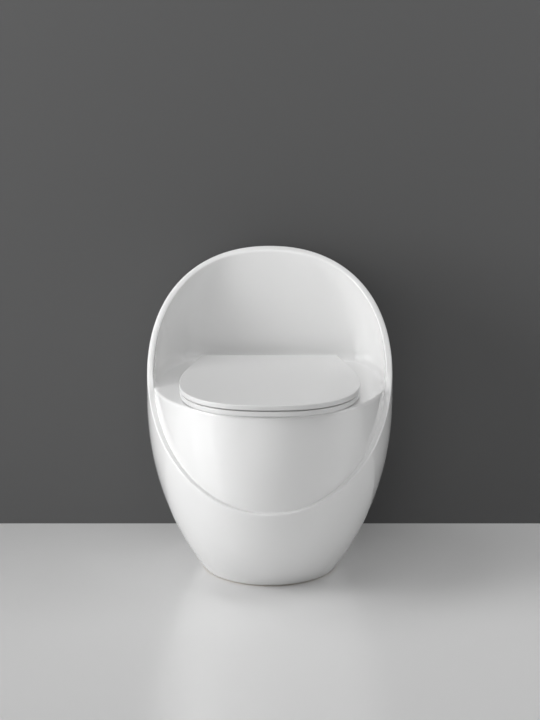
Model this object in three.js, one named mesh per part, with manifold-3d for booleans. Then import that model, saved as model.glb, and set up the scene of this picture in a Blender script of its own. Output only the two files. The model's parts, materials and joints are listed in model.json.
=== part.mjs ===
// A one-piece siphonic toilet whose body is an egg cut off by a sloping plane.
// Lengths are in millimetres. Z points up, the front faces -Y and +X is on the viewer's right.
// The origin is on the floor, midway between the front of the seat lid and the back of the body.
import * as THREE from 'three';
import { mergeVertices } from 'three/addons/utils/BufferGeometryUtils.js';
import Module from 'manifold-3d';

const wasm = await Module();
wasm.setup();

// Clearances that several pieces share
const touchGap = 0.3;
const overrun = 6;
// The side of a block that cuts all of the body away, beside the body's height
const farCutShare = 4;

// Body
const egg = {
  halfWidth: 256.5,
  front: 305,
  back: 305,
  baseHalfWidth: 144.4,
  baseFront: 119,
  baseBack: 285,
  waistHeight: 380,
  apexHeight: 714.5,
  waistForward: 3,
  baseSetback: 43.8,
  apexForward: 21.9,
};
// Powers of the curves that join the egg's sections
const eggPowerShares = { taper: 2.1, frontTaper: 2.645, dome: 2.647, plan: 2.015, rearPlan: 2.11 };
const rim = { frontHeight: 204, topHeight: 665, round: 9 };
const shellWall = { side: 13, front: 8, back: 12, top: 12 };
const serviceOpening = { halfWidth: 105, bottom: 40, top: 290 };

// Bowl, deck and water way
const deck = { top: 410, thickness: 14, apronWall: 10, apronOverlap: 40 };
const basin = {
  halfWidth: 118,
  front: 255,
  rear: 35,
  floorHeight: 118,
  wall: 10,
};
const basinPlanPower = 2.3;
const basinPlanShares = [
  { height: 1, width: 1, front: 1, rear: 1 },
  { height: 0.93, width: 1.01, front: 0.99, rear: 1.02 },
  { height: 0.72, width: 0.93, front: 0.93, rear: 1.05 },
  { height: 0.46, width: 0.7, front: 0.69, rear: 1.1 },
  { height: 0.25, width: 0.43, front: 0.37, rear: 1.16 },
  { height: 0.1, width: 0.34, front: 0.14, rear: 1.18 },
  { height: 0, width: 0.26, front: 0.09, rear: 1.1 },
];
// Where the basin's rings are joined, as shares of its depth above its floor
const basinSeamShares = { throat: 0.63, sump: 0.367 };
const trap = {
  bore: 52,
  wall: 8,
  collarStart: 5.5,
  collarEnd: 58,
  inletHeight: 149,
  weirHeight: 279,
  legBehind: 207,
  runHeight: 72,
  hornBend: 40,
  hornBottom: 12,
  outletBehind: 5,
  seamDrop: 2,
};
// How far back towards the down leg, and how far up from the run to the weir
const trapRouteShares = [
  { back: 0.15, up: 0.4 },
  { back: 0.34, up: 0.61 },
  { back: 0.47, up: 0.85 },
  { back: 0.67, up: 1 },
  { back: 0.89, up: 0.91 },
  { back: 1, up: 0.64 },
  { back: 0.95, up: 0.33 },
  { back: 0.7, up: 0.1 },
  { back: 0.3, up: 0 },
];
// How far round the last bend, from level to straight down
const hornBendShares = [1, 0.67, 0.33, 0];
// Where the trapway's parts are joined, as shares of the way back to its down leg
const trapSeamShares = { weir: 0.67, riserFoot: 0.42 };
const seal = { outerRadius: 60, height: 24 };
const duct = { halfWidth: 30, wall: 7, bottom: 264, front: -20, insideFront: 0, rear: 262 };

// Water tank
const panel = { front: 190, thickness: 10 };
const tank = { floorTop: 340, floorThickness: 12, wall: 7, rimClear: 5 };
const hatch = {
  front: 212,
  belowRim: 90,
  halfWidth: 115,
  ledge: 8,
  cutDepth: 32,
  skirtWall: 4,
  skirtDepth: 4,
};
// How far across the tank each valve stands
const valveAcrossShares = { flush: 0.2573, fill: 0.2807 };

// Dual flush button, measured along its own axis from the cover's surface
const button = {
  belowRim: 53.34,
  bezelRadius: 25,
  bezelRise: 2,
  bezelSink: 2,
  capRise: 1.2,
  capThickness: 3,
  split: 3,
  splitGap: 0.6,
  housingRadius: 18,
  housingWall: 2,
  housingDepth: 21,
  stemRadius: 3,
  nutRadius: 21.5,
  nutThickness: 4.5,
  nutDepth: 15,
};
const spring = { radius: 5.2, wire: 0.8, turns: 4, stepsPerTurn: 8, wireSides: 5 };

// Flush valve
const flush = {
  flangeRadius: 29,
  flangeThickness: 5,
  cageRadius: 25,
  cageWall: 2.5,
  cageBelowHatch: 70,
  topThickness: 4,
  windowHeight: 32,
  windowWidth: 26,
  gasketThickness: 4,
  spigotRadius: 20,
  spigotWall: 3,
  seatWidth: 4,
  tubeRadius: 10,
  tubeWall: 2,
  tubeAboveCage: 35,
  discRadius: 21,
  discThickness: 4,
  sealThickness: 2,
  panelClear: 2,
  earReach: 38,
  earRadius: 7,
  boltRadius: 2.8,
  boltHeadRadius: 5,
  boltHeadHeight: 4,
  nutRadius: 6,
  nutHeight: 5,
  boltTail: 7.5,
  portRadius: 3,
  portHeight: 8,
};
const flushTopTurn = THREE.MathUtils.degToRad(45);

// Fill valve
const fill = {
  behindPanel: 29,
  shankRadius: 10,
  shankBore: 4,
  shankEnd: 290,
  washerRadius: 17,
  washerThickness: 3,
  flangeThickness: 4,
  stemRadius: 8.5,
  stemBelowHatch: 69,
  headRadius: 13,
  headHeight: 16,
  nutRadius: 17,
  nutThickness: 8,
  cupRadius: 24,
  cupBelowHead: 16,
  cupWall: 2,
  leverLength: 26,
  leverWidth: 6,
  leverThickness: 3,
  bossRadius: 3.2,
  pivotRadius: 1.2,
  pivotRise: 8,
  linkRadius: 2,
};
// The float cup's height beside the length of the stem that it slides on
const cupHeightShare = 0.271;
const refill = { radius: 3.5, rise: 26, nozzle: 7 };
const cable = { radius: 2, straight: 10, rise: 8, drop: 24 };

// Seat, lid and hinges
const lid = {
  halfWidth: 184.5,
  front: 305,
  backEdge: 135,
  backHalfWidth: 145.6,
  widestForward: 98,
  shoulderForward: 48,
  straightEnd: 2,
  straightHalfWidth: 174.2,
  backCorner: 8,
  thickness: 10.5,
  edgeRound: 4,
};
const lidFrontPower = 2.45;
// Steps along the lid's side and round its back corner
const lidSideShares = [0.25, 0.5, 0.75, 1];
const lidCornerShares = [0, 0.33, 0.67, 1];
const seat = {
  inset: 1,
  thickness: 10.5,
  deckGap: 2,
  lidGap: 2,
  backEdge: 104,
  holeHalfWidth: 106,
  holeFront: 232,
  holeRear: 22,
  holePower: 2.25,
};
const hinge = {
  halfSpacing: 77.5,
  tail: 13,
  aboveDeck: 15,
  barrelRadius: 6.5,
  pinRadius: 3,
  postWidth: 22,
  tailClear: 1.2,
  discRadius: 18,
  discThickness: 5,
  lugWidth: 22,
  lugGap: 0.6,
  pocketClear: 0.8,
  lidLugSpace: 19.5,
  damperRadius: 4.2,
  damperLength: 20,
};
const deckBolt = {
  radius: 3,
  headRadius: 6,
  headHeight: 3,
  length: 46,
  plugRadius: 9,
  plugFlange: 13,
  plugLength: 28,
};
const bumper = { radius: 9, sink: 2 };
const seatBumperShares = [
  { across: 0.72, along: -0.32 },
  { across: 0.5, along: -0.82 },
];
const lidBumperShares = [{ across: 0.56, along: -0.78 }];

// Floor fixings
const bracket = {
  behindOrigin: 175,
  width: 34,
  height: 48,
  foot: 40,
  thickness: 4,
  screwHeight: 30,
  screwRadius: 3,
  screwTail: 12,
  headRadius: 6,
  headHeight: 3.5,
  capRadius: 9,
  capDepth: 5,
};

// How finely curved surfaces are divided
const fine = {
  around: 44,
  wallSteps: 11,
  wallRowPower: 1.15,
  innerSteps: 7,
  rimSteps: 2,
  apronSteps: 4,
  tankSteps: 7,
  basinSides: 32,
  trapSides: 14,
  trapSteps: 18,
  lidFront: 10,
  cordSteps: 12,
  cordSides: 6,
  round: 16,
  small: 10,
  octagon: 8,
  hexagon: 6,
};

function paint(color, roughness, metalness = 0) {
  return new THREE.MeshStandardMaterial({ color, roughness, metalness });
}

const glaze = paint(0xf2f1ee, 0.12);
const seatPlastic = paint(0xf1f0ed, 0.25);
const blackRubber = paint(0x26262a, 0.8);
const paleRubber = paint(0xd8d6cf, 0.7);
const whitePlastic = paint(0xeceae4, 0.5);
const bluePlastic = paint(0x4d7fb3, 0.45);
const chromePlate = paint(0xd6d8da, 0.15, 1);
const steel = paint(0xa9acb0, 0.35, 1);

// A closed solid from the corners and faces of a geometry
function toSolid(geometry) {
  geometry.deleteAttribute('normal');
  geometry.deleteAttribute('uv');
  const merged = mergeVertices(geometry);
  const points = merged.attributes.position.array;
  const faces = [];
  let volume = 0;
  const corners = [new THREE.Vector3(), new THREE.Vector3(), new THREE.Vector3()];
  for (let i = 0; i < merged.index.count; i += 3) {
    const face = [0, 1, 2].map((k) => merged.index.getX(i + k));
    if (new Set(face).size < 3) continue;
    faces.push(face);
    face.forEach((index, k) => corners[k].fromArray(points, index * 3));
    volume += corners[0].dot(corners[1].clone().cross(corners[2]));
  }
  const turned = volume < 0 ? faces.map((face) => face.reverse()) : faces;
  return new wasm.Manifold(new wasm.Mesh({
    numProp: 3,
    vertProperties: new Float32Array(points),
    triVerts: new Uint32Array(turned.flat()),
  }));
}

function toGeometry(solid) {
  const { vertProperties, triVerts } = solid.getMesh();
  const geometry = new THREE.BufferGeometry();
  geometry.setAttribute('position', new THREE.BufferAttribute(vertProperties, 3));
  geometry.setIndex(new THREE.BufferAttribute(triVerts, 1));
  geometry.computeVertexNormals();
  return geometry;
}

const model = new THREE.Group();

function addPiece(name, solid, material, parent = model) {
  const mesh = new THREE.Mesh(toGeometry(solid), material);
  mesh.name = name;
  parent.add(mesh);
}

function block(x0, x1, y0, y1, z0, z1) {
  const geometry = new THREE.BoxGeometry(x1 - x0, y1 - y0, z1 - z0);
  return toSolid(geometry.translate((x0 + x1) / 2, (y0 + y1) / 2, (z0 + z1) / 2));
}

// An upright round bar
function post(radius, z0, z1, x = 0, y = 0, sides = fine.round) {
  const geometry = new THREE.CylinderGeometry(radius, radius, z1 - z0, sides);
  geometry.rotateX(Math.PI / 2);
  return toSolid(geometry.translate(x, y, (z0 + z1) / 2));
}

// A round bar along X
function rod(radius, x0, x1, y, z, sides = fine.small) {
  const geometry = new THREE.CylinderGeometry(radius, radius, x1 - x0, sides);
  geometry.rotateZ(Math.PI / 2);
  return toSolid(geometry.translate((x0 + x1) / 2, y, z));
}

function tube(radius, bore, z0, z1, x = 0, y = 0, sides = fine.round, boreSides = fine.round) {
  const hollow = post(bore, z0 - overrun, z1 + overrun, x, y, boreSides);
  return post(radius, z0, z1, x, y, sides).subtract(hollow);
}

// A bar with a flat outline, pulled up from z0 to z1
function slab(outline, z0, z1, round = 0) {
  const shape = new THREE.Shape(outline.map(([x, y]) => new THREE.Vector2(x, y)));
  const geometry = new THREE.ExtrudeGeometry(shape, {
    depth: z1 - z0 - 2 * round,
    bevelEnabled: round > 0,
    bevelThickness: round,
    bevelSize: round,
    bevelOffset: -round,
    bevelSegments: 2,
  });
  return toSolid(geometry.translate(0, 0, z0 + round));
}

// A solid through rings of equal length, closed at both ends by fans, or joined end to end
function loft(rings, endless = false) {
  const count = rings[0].length;
  const points = rings.flat(2);
  const faces = [];
  const rows = endless ? rings.length : rings.length - 1;
  for (let row = 0; row < rows; row += 1) {
    const next = (row + 1) % rings.length;
    for (let i = 0; i < count; i += 1) {
      const j = (i + 1) % count;
      faces.push(row * count + i, row * count + j, next * count + j);
      faces.push(row * count + i, next * count + j, next * count + i);
    }
  }
  if (!endless) {
    closeEnd(points, faces, rings[0], 0, true);
    closeEnd(points, faces, rings.at(-1), (rings.length - 1) * count, false);
  }
  const geometry = new THREE.BufferGeometry();
  geometry.setAttribute('position', new THREE.Float32BufferAttribute(points, 3));
  geometry.setIndex(faces);
  return toSolid(geometry);
}

function closeEnd(points, faces, ring, first, flipped) {
  const count = ring.length;
  const middle = [0, 1, 2].map((axis) => ring.reduce((sum, point) => sum + point[axis], 0) / count);
  const centre = points.length / 3;
  points.push(...middle);
  for (let i = 0; i < count; i += 1) {
    const j = (i + 1) % count;
    const pair = flipped ? [first + j, first + i] : [first + i, first + j];
    faces.push(centre, ...pair);
  }
}

const signedPower = (value, power) => Math.sign(value) * Math.abs(value) ** power;
const anglesAround = (count) => Array.from({ length: count }, (_, i) => (2 * Math.PI * i) / count);
const thicker = (wall, extra) => Object.fromEntries(
  Object.entries(wall).map(([side, value]) => [side, value + extra]));
const noWall = { side: 0, front: 0, back: 0, top: 0 };

// The egg's level section at a height, drawn in by a wall
function eggSection(z, wall = noWall) {
  const side = egg.halfWidth - wall.side;
  const front = egg.front - wall.front;
  const back = egg.back - wall.back;
  if (z < egg.waistHeight) {
    const drop = (egg.waistHeight - z) / egg.waistHeight;
    const taper = drop ** eggPowerShares.taper;
    return {
      halfWidth: side - (egg.halfWidth - egg.baseHalfWidth) * taper,
      middle: (egg.baseSetback + egg.waistForward) * taper - egg.waistForward,
      front: (egg.front - egg.baseFront) * drop ** eggPowerShares.frontTaper - front,
      back: back - (egg.back - egg.baseBack) * taper,
    };
  }
  const rise = Math.min(1, (z - egg.waistHeight) / (egg.apexHeight - wall.top - egg.waistHeight));
  const narrow = (1 - rise ** eggPowerShares.dome) ** (1 / eggPowerShares.dome);
  return {
    halfWidth: side * narrow,
    middle: -egg.waistForward - (egg.apexForward - egg.waistForward) * (1 - narrow),
    front: -egg.apexForward - (front - egg.apexForward) * narrow,
    back: (back + egg.apexForward) * narrow - egg.apexForward,
  };
}

function eggPoint(z, angle, wall) {
  const section = eggSection(z, wall);
  const forward = Math.sin(angle) < 0;
  const power = 2 / (forward ? eggPowerShares.plan : eggPowerShares.rearPlan);
  const reach = forward ? section.middle - section.front : section.back - section.middle;
  const x = section.halfWidth * signedPower(Math.cos(angle), power);
  return [x, section.middle + reach * signedPower(Math.sin(angle), power), z];
}

function eggSolid(wall, z0, z1, steps) {
  const heights = Array.from({ length: steps + 1 }, (_, i) => z0 + ((z1 - z0) * i) / steps);
  return loft(heights.map((z) => anglesAround(fine.around).map((angle) => eggPoint(z, angle, wall))));
}

// The plane that cuts the egg runs through its front and its back at the rim's two heights
const rimFrontY = eggSection(rim.frontHeight).front;
const rimTopY = eggSection(rim.topHeight).back;
const rimSlope = (rim.topHeight - rim.frontHeight) / (rimTopY - rimFrontY);
const rimHeightAt = (y) => rim.frontHeight + rimSlope * (y - rimFrontY);

// Where the wall of the egg meets the rim's plane on one side
function rimCrossing(angle, wall) {
  let low = 0;
  let high = egg.apexHeight - wall.top;
  for (let i = 0; i < 40; i += 1) {
    const z = (low + high) / 2;
    const [, y] = eggPoint(z, angle, wall);
    if (rimHeightAt(y) > z) low = z;
    else high = z;
  }
  return low;
}

// Everything above the rim's plane, moved up or down
function aboveRim(shift) {
  const size = farCutShare * egg.apexHeight;
  const geometry = new THREE.BoxGeometry(size, size, size);
  geometry.translate(0, 0, size / 2);
  geometry.rotateX(Math.atan(rimSlope));
  return toSolid(geometry.translate(0, rimFrontY, rim.frontHeight + shift));
}

const bend = (a, b, c, share) => a.map((value, axis) => (
  value * (1 - share) ** 2 + 2 * b[axis] * share * (1 - share) + c[axis] * share ** 2));

// Up the outside of the wall, over the rounded rim and down the inside
function shellProfile(angle, wall) {
  const outerTop = rimCrossing(angle, noWall);
  const innerTop = rimCrossing(angle, wall);
  const outer = eggPoint(outerTop, angle, noWall);
  const inner = eggPoint(innerTop, angle, wall);
  const crest = outer.map((value, axis) => (value + inner[axis]) / 2);
  const points = [];
  for (let i = 0; i <= fine.wallSteps; i += 1) {
    const share = 1 - (1 - i / fine.wallSteps) ** fine.wallRowPower;
    points.push(eggPoint((outerTop - rim.round) * share, angle, noWall));
  }
  const outerShoulder = points.at(-1);
  const innerShoulder = eggPoint(innerTop - rim.round, angle, wall);
  for (let i = 1; i <= fine.rimSteps; i += 1) {
    points.push(bend(outerShoulder, outer, crest, i / fine.rimSteps));
  }
  for (let i = 1; i < fine.rimSteps; i += 1) {
    points.push(bend(crest, inner, innerShoulder, i / fine.rimSteps));
  }
  for (let i = fine.innerSteps; i >= 0; i -= 1) {
    points.push(eggPoint((innerTop - rim.round) * (i / fine.innerSteps), angle, wall));
  }
  return points;
}

function shellSolid(extra) {
  const wall = thicker(shellWall, extra);
  return loft(anglesAround(fine.around).map((angle) => shellProfile(angle, wall)), true);
}

const hatchLowEdge = rim.topHeight - hatch.belowRim;
const hatchReach = shellWall.back + tank.wall + hatch.cutDepth;

// The upright prism that the tank's hatch is cut with, drawn in by a margin
function hatchPrism(margin) {
  const ring = (z) => anglesAround(fine.around).map((angle) => {
    const [x, y] = eggPoint(hatchLowEdge, angle, { side: margin, front: 0, back: margin, top: 0 });
    return [x, y, z];
  });
  const prism = loft([ring(tank.floorTop), ring(egg.apexHeight)]);
  const sides = block(
    margin - hatch.halfWidth, hatch.halfWidth - margin,
    hatch.front + margin, egg.back,
    tank.floorTop - overrun, egg.apexHeight + overrun);
  return prism.intersect(sides).intersect(block(
    -egg.halfWidth, egg.halfWidth, 0, egg.back, hatchLowEdge - hatchReach, egg.apexHeight + overrun));
}

const cavityWall = thicker(shellWall, touchGap);
const tankInnerWall = thicker(cavityWall, tank.wall);
const shell = shellSolid(0);
const shellAndGap = shellSolid(touchGap);

function makeOuterShell() {
  const opening = block(
    -serviceOpening.halfWidth, serviceOpening.halfWidth,
    egg.baseBack / 2, egg.back + overrun,
    serviceOpening.bottom, serviceOpening.top);
  const screwHole = rod(
    bracket.screwRadius + touchGap, -egg.halfWidth, egg.halfWidth, bracket.behindOrigin, bracket.screwHeight);
  const body = shell.subtract(opening).subtract(hatchPrism(0)).subtract(screwHole);
  const width = egg.halfWidth + overrun;
  const below = (top) => block(-width, width, -egg.front, egg.back + overrun, -overrun, top);
  const skirt = body.intersect(below(deck.top - deck.thickness));
  const front = block(-width, width, -egg.front, -touchGap, -overrun, deck.top);
  const rear = block(-width, width, 0, egg.back + overrun, -overrun, deck.top);
  addPiece('hood', body.subtract(below(deck.top - deck.thickness + touchGap)), glaze);
  addPiece('skirt_front', skirt.intersect(front), glaze);
  addPiece('skirt_rear', skirt.intersect(rear), glaze);
}

// One level outline of the basin, grown outwards
function basinRing(share, z, grow) {
  const front = basin.front * share.front + grow;
  const rear = basin.rear * share.rear + grow;
  const width = basin.halfWidth * share.width + grow;
  return anglesAround(fine.basinSides).map((angle) => {
    const along = signedPower(Math.sin(angle), 2 / basinPlanPower);
    const across = signedPower(Math.cos(angle), 2 / basinPlanPower);
    return [width * across, (rear - front) / 2 + ((rear + front) / 2) * along, z];
  });
}

// The basin's inner or outer shape, from a straight collar above its mouth down to the floor
function basinSolid(grow, collar) {
  const depth = deck.top - basin.floorHeight;
  const rings = basinPlanShares.map((share) => {
    const lower = share.height > 0 ? 0 : grow;
    return basinRing(share, basin.floorHeight + depth * share.height - lower, grow);
  });
  if (collar > 0) rings.unshift(basinRing(basinPlanShares[0], deck.top + collar, grow));
  return loft(rings);
}

const trapRadius = trap.bore / 2;
const trapOuter = trapRadius + trap.wall;

// Where the valves stand, and how high they reach
const flushX = -valveAcrossShares.flush * egg.halfWidth;
const flushY = panel.front + panel.thickness + flush.panelClear + flush.flangeRadius;
const cageTop = hatchLowEdge - flush.cageBelowHatch;
const fillX = valveAcrossShares.fill * egg.halfWidth;
const fillY = panel.front + panel.thickness + fill.behindPanel;
const stemTop = hatchLowEdge - fill.stemBelowHatch;
const cupTop = stemTop - fill.cupBelowHead;
const cupHeight = (stemTop - tank.floorTop) * cupHeightShare;
const tankFloorBottom = tank.floorTop - tank.floorThickness;

// A round bar along Y
function bar(radius, y0, y1, x, z, sides = fine.round) {
  const geometry = new THREE.CylinderGeometry(radius, radius, y1 - y0, sides);
  return toSolid(geometry.translate(x, (y0 + y1) / 2, z));
}

const ductTop = tankFloorBottom - touchGap;
const ductInside = block(
  flushX - duct.halfWidth + duct.wall, flushX + duct.halfWidth - duct.wall,
  duct.insideFront, duct.rear - duct.wall,
  duct.bottom + duct.wall, ductTop - duct.wall);

function makeDeck() {
  const low = rim.frontHeight - deck.apronOverlap;
  const skinLow = low - overrun;
  const plateBottom = deck.top - deck.thickness;
  const outside = eggSolid(cavityWall, low, deck.top, fine.apronSteps);
  const inside = eggSolid(thicker(cavityWall, deck.apronWall), skinLow, plateBottom, fine.apronSteps);
  const belowApron = block(-egg.halfWidth, egg.halfWidth, -egg.front, egg.back, skinLow, plateBottom)
    .subtract(aboveRim(-deck.apronOverlap));
  const behindPanel = block(
    -egg.halfWidth, egg.halfWidth, panel.front - touchGap, egg.back + overrun, skinLow, deck.top + overrun);
  let body = outside.subtract(inside).subtract(belowApron).subtract(behindPanel).subtract(shellAndGap);
  body = body.subtract(basinSolid(basin.wall + touchGap, overrun));
  for (const side of [-1, 1]) {
    const x = side * hinge.halfSpacing;
    body = body.subtract(post(
      deckBolt.plugRadius + touchGap, plateBottom - overrun, deck.top + overrun, x, hingeFootY));
  }
  addPiece('deck', body, glaze);
}

function makeBowl() {
  const collar = bar(trapOuter, trap.collarStart, trap.collarEnd, 0, trap.inletHeight, fine.trapSides);
  let body = basinSolid(basin.wall, 0).add(collar).subtract(basinSolid(0, overrun));
  body = body.subtract(bar(trapRadius, 0, trap.collarEnd + overrun, 0, trap.inletHeight, fine.trapSides));
  addBowlParts(body.subtract(ductInside));
}

// The basin is cast in three rings: the wide mouth, the throat below it, and the sump with its collar
function addBowlParts(body) {
  const [throatTop, sumpTop] = [basinSeamShares.throat, basinSeamShares.sump].map(
    (share) => basin.floorHeight + (deck.top - basin.floorHeight) * share);
  const width = egg.halfWidth;
  const ring = (z0, z1) => body.intersect(block(-width, width, -egg.front, egg.back, z0, z1));
  addPiece('bowl', ring(throatTop + touchGap, deck.top + overrun), glaze);
  addPiece('bowl_throat', ring(sumpTop + touchGap, throatTop), glaze);
  addPiece('bowl_sump', ring(0, sumpTop), glaze);
}

function makeFlushDuct() {
  const left = flushX - duct.halfWidth;
  const right = flushX + duct.halfWidth;
  let body = block(left, right, duct.front, duct.rear, duct.bottom, ductTop);
  body = body.subtract(ductInside).subtract(basinSolid(basin.wall + touchGap, 0));
  body = body.subtract(post(
    flush.spigotRadius + touchGap, ductTop - duct.wall - overrun, ductTop + overrun, flushX, flushY));
  addPiece('flush_duct', body, glaze);
}

// A round bar along a curve through points
function bentBar(points, radius, steps, sides) {
  const circle = anglesAround(sides).map((angle) => new THREE.Vector2(Math.cos(angle), Math.sin(angle)));
  const outline = new THREE.Shape(circle.map((point) => point.multiplyScalar(radius)));
  const curve = new THREE.CatmullRomCurve3(points, false, 'centripetal');
  return toSolid(new THREE.ExtrudeGeometry(outline, { steps, extrudePath: curve }));
}

function makeTrapway() {
  const start = trap.collarEnd + touchGap;
  const end = trap.outletBehind;
  const bendBottom = trap.runHeight - trap.hornBend;
  const route = [
    new THREE.Vector3(0, start, trap.inletHeight),
    new THREE.Vector3(0, start + trap.wall, trap.inletHeight),
  ];
  for (const { back, up } of trapRouteShares) {
    const y = start + (trap.legBehind - start) * back;
    route.push(new THREE.Vector3(0, y, trap.runHeight + (trap.weirHeight - trap.runHeight) * up));
  }
  for (const share of hornBendShares) {
    const turn = (Math.PI / 2) * share;
    const y = end + trap.hornBend * (1 - Math.cos(turn));
    route.push(new THREE.Vector3(0, y, bendBottom + trap.hornBend * Math.sin(turn)));
  }
  const outer = bentBar(route, trapOuter, fine.trapSteps, fine.trapSides);
  const boreStart = new THREE.Vector3(0, start - overrun, trap.inletHeight);
  const boreEnd = new THREE.Vector3(0, end, trap.hornBottom - overrun);
  const bore = bentBar([boreStart, ...route, boreEnd], trapRadius, fine.trapSteps, fine.trapSides);
  const horn = post(trapOuter, trap.hornBottom, bendBottom + touchGap, 0, end, fine.trapSides);
  const collarSpace = block(
    -seal.outerRadius, seal.outerRadius, 0, start, trap.inletHeight - trapOuter - touchGap, trap.weirHeight);
  const body = outer.add(horn).subtract(bore).subtract(collarSpace);
  addTrapParts(body, start);
  const ring = tube(
    seal.outerRadius, trapOuter + touchGap, 0, seal.height, 0, end, fine.round, fine.trapSides);
  addPiece('outlet_seal', ring, paleRubber);
}

// The trapway is cast in three parts: up to the weir, down from it, and along to the outlet
function addTrapParts(body, start) {
  const [weirY, footY] = [trapSeamShares.weir, trapSeamShares.riserFoot].map(
    (share) => start + (trap.legBehind - start) * share);
  const reach = trap.legBehind + trapOuter + overrun;
  const riserFoot = trap.inletHeight - trapOuter - trap.seamDrop;
  const legFoot = trap.runHeight + 2 * trapOuter;
  const below = (lift) => block(-trapOuter, trapOuter, -reach, footY + lift, 0, riserFoot + lift)
    .add(block(-trapOuter, trapOuter, footY, reach, 0, legFoot + lift));
  const high = trap.weirHeight + trapOuter + overrun;
  const upper = body.subtract(below(touchGap));
  const between = (y0, y1) => block(-trapOuter, trapOuter, y0, y1, 0, high);
  addPiece('trapway_riser', upper.intersect(between(0, weirY)), glaze);
  addPiece('trapway_leg', upper.intersect(between(weirY + touchGap, reach)), glaze);
  addPiece('trapway_outlet', body.intersect(below(0)), glaze);
}

function makeCistern() {
  const roofTop = rimHeightAt(panel.front);
  const outside = eggSolid(cavityWall, tankFloorBottom, roofTop, fine.tankSteps);
  const inside = eggSolid(tankInnerWall, tank.floorTop, roofTop, fine.tankSteps);
  const inFrontOf = (y) => block(
    -egg.halfWidth, egg.halfWidth, -egg.front, y, tankFloorBottom - overrun, egg.apexHeight);
  const liningFront = inFrontOf(panel.front + panel.thickness);
  let body = outside.subtract(inFrontOf(panel.front)).subtract(aboveRim(-tank.rimClear));
  body = body.subtract(shellAndGap);
  const roofPlane = aboveRim(-tank.rimClear - tank.wall);
  body = body.subtract(inside.subtract(liningFront).subtract(roofPlane));
  body = body.subtract(hatchPrism(hatch.ledge));
  const low = tankFloorBottom - overrun;
  const high = tank.floorTop + overrun;
  body = body.subtract(post(flush.spigotRadius + touchGap, low, high, flushX, flushY));
  body = body.subtract(post(fill.shankRadius + touchGap, low, high, fillX, fillY));
  for (const side of [-1, 1]) {
    const x = flushX + side * flush.earReach;
    body = body.subtract(post(flush.boltRadius + touchGap, low, high, x, flushY, fine.small));
  }
  addPiece('cistern', body, glaze);
}

// The button's own frame stands on the cover's surface, with its Z out of the cover
const buttonZ = rim.topHeight - button.belowRim;
const buttonY = eggSection(buttonZ).back;
const surfaceDrop = eggSection(buttonZ - touchGap).back - eggSection(buttonZ + touchGap).back;
const buttonTilt = Math.atan2(2 * touchGap, surfaceDrop);
const buttonGroup = new THREE.Group();
buttonGroup.position.set(0, buttonY, buttonZ);
buttonGroup.rotation.set(-buttonTilt, 0, 0);
buttonGroup.updateMatrix();

// A round bar in the button's frame, as a cutter in the model's frame
function buttonCutter(radius, z0, z1) {
  const geometry = new THREE.CylinderGeometry(radius, radius, z1 - z0, fine.round);
  geometry.rotateX(Math.PI / 2).translate(0, 0, (z0 + z1) / 2);
  return toSolid(geometry.applyMatrix4(buttonGroup.matrix));
}

function makeTankCover() {
  const cover = shell.intersect(hatchPrism(touchGap));
  const ringOuter = hatchPrism(hatch.ledge + touchGap * 2);
  const ringInner = hatchPrism(hatch.ledge + touchGap * 2 + hatch.skirtWall);
  const under = thicker(shellWall, -touchGap * 4);
  const below = thicker(shellWall, hatch.skirtDepth);
  const band = eggSolid(under, egg.waistHeight, rim.topHeight, fine.tankSteps).subtract(
    eggSolid(below, egg.waistHeight - overrun, rim.topHeight, fine.tankSteps));
  const skirt = band.intersect(ringOuter.subtract(ringInner)).subtract(aboveRim(-tank.rimClear));
  let body = cover.add(skirt);
  body = body.subtract(buttonCutter(button.housingRadius + touchGap, -egg.halfWidth / 2, egg.halfWidth / 2));
  body = body.subtract(buttonCutter(button.bezelRadius + touchGap, -button.bezelSink, egg.halfWidth / 2));
  body = body.subtract(buttonCutter(button.nutRadius + touchGap, -egg.halfWidth / 2, -button.nutDepth));
  addPiece('tank_cover', body, glaze);
}

function halfDisc(radius, z0, z1, side) {
  const edge = button.split + (side * button.splitGap) / 2;
  const x0 = side > 0 ? edge : -radius - overrun;
  const x1 = side > 0 ? radius + overrun : edge;
  const reach = radius + overrun;
  return post(radius, z0, z1).intersect(block(x0, x1, -reach, reach, z0 - overrun, z1 + overrun));
}

function springSolid(x, z0, z1) {
  const steps = spring.turns * spring.stepsPerTurn;
  const points = [];
  for (let i = 0; i <= steps; i += 1) {
    const angle = (2 * Math.PI * i) / spring.stepsPerTurn;
    const z = z0 + spring.wire + ((z1 - z0 - 2 * spring.wire) * i) / steps;
    points.push(new THREE.Vector3(x + spring.radius * Math.cos(angle), spring.radius * Math.sin(angle), z));
  }
  return bentBar(points, spring.wire, steps, spring.wireSides);
}

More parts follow.
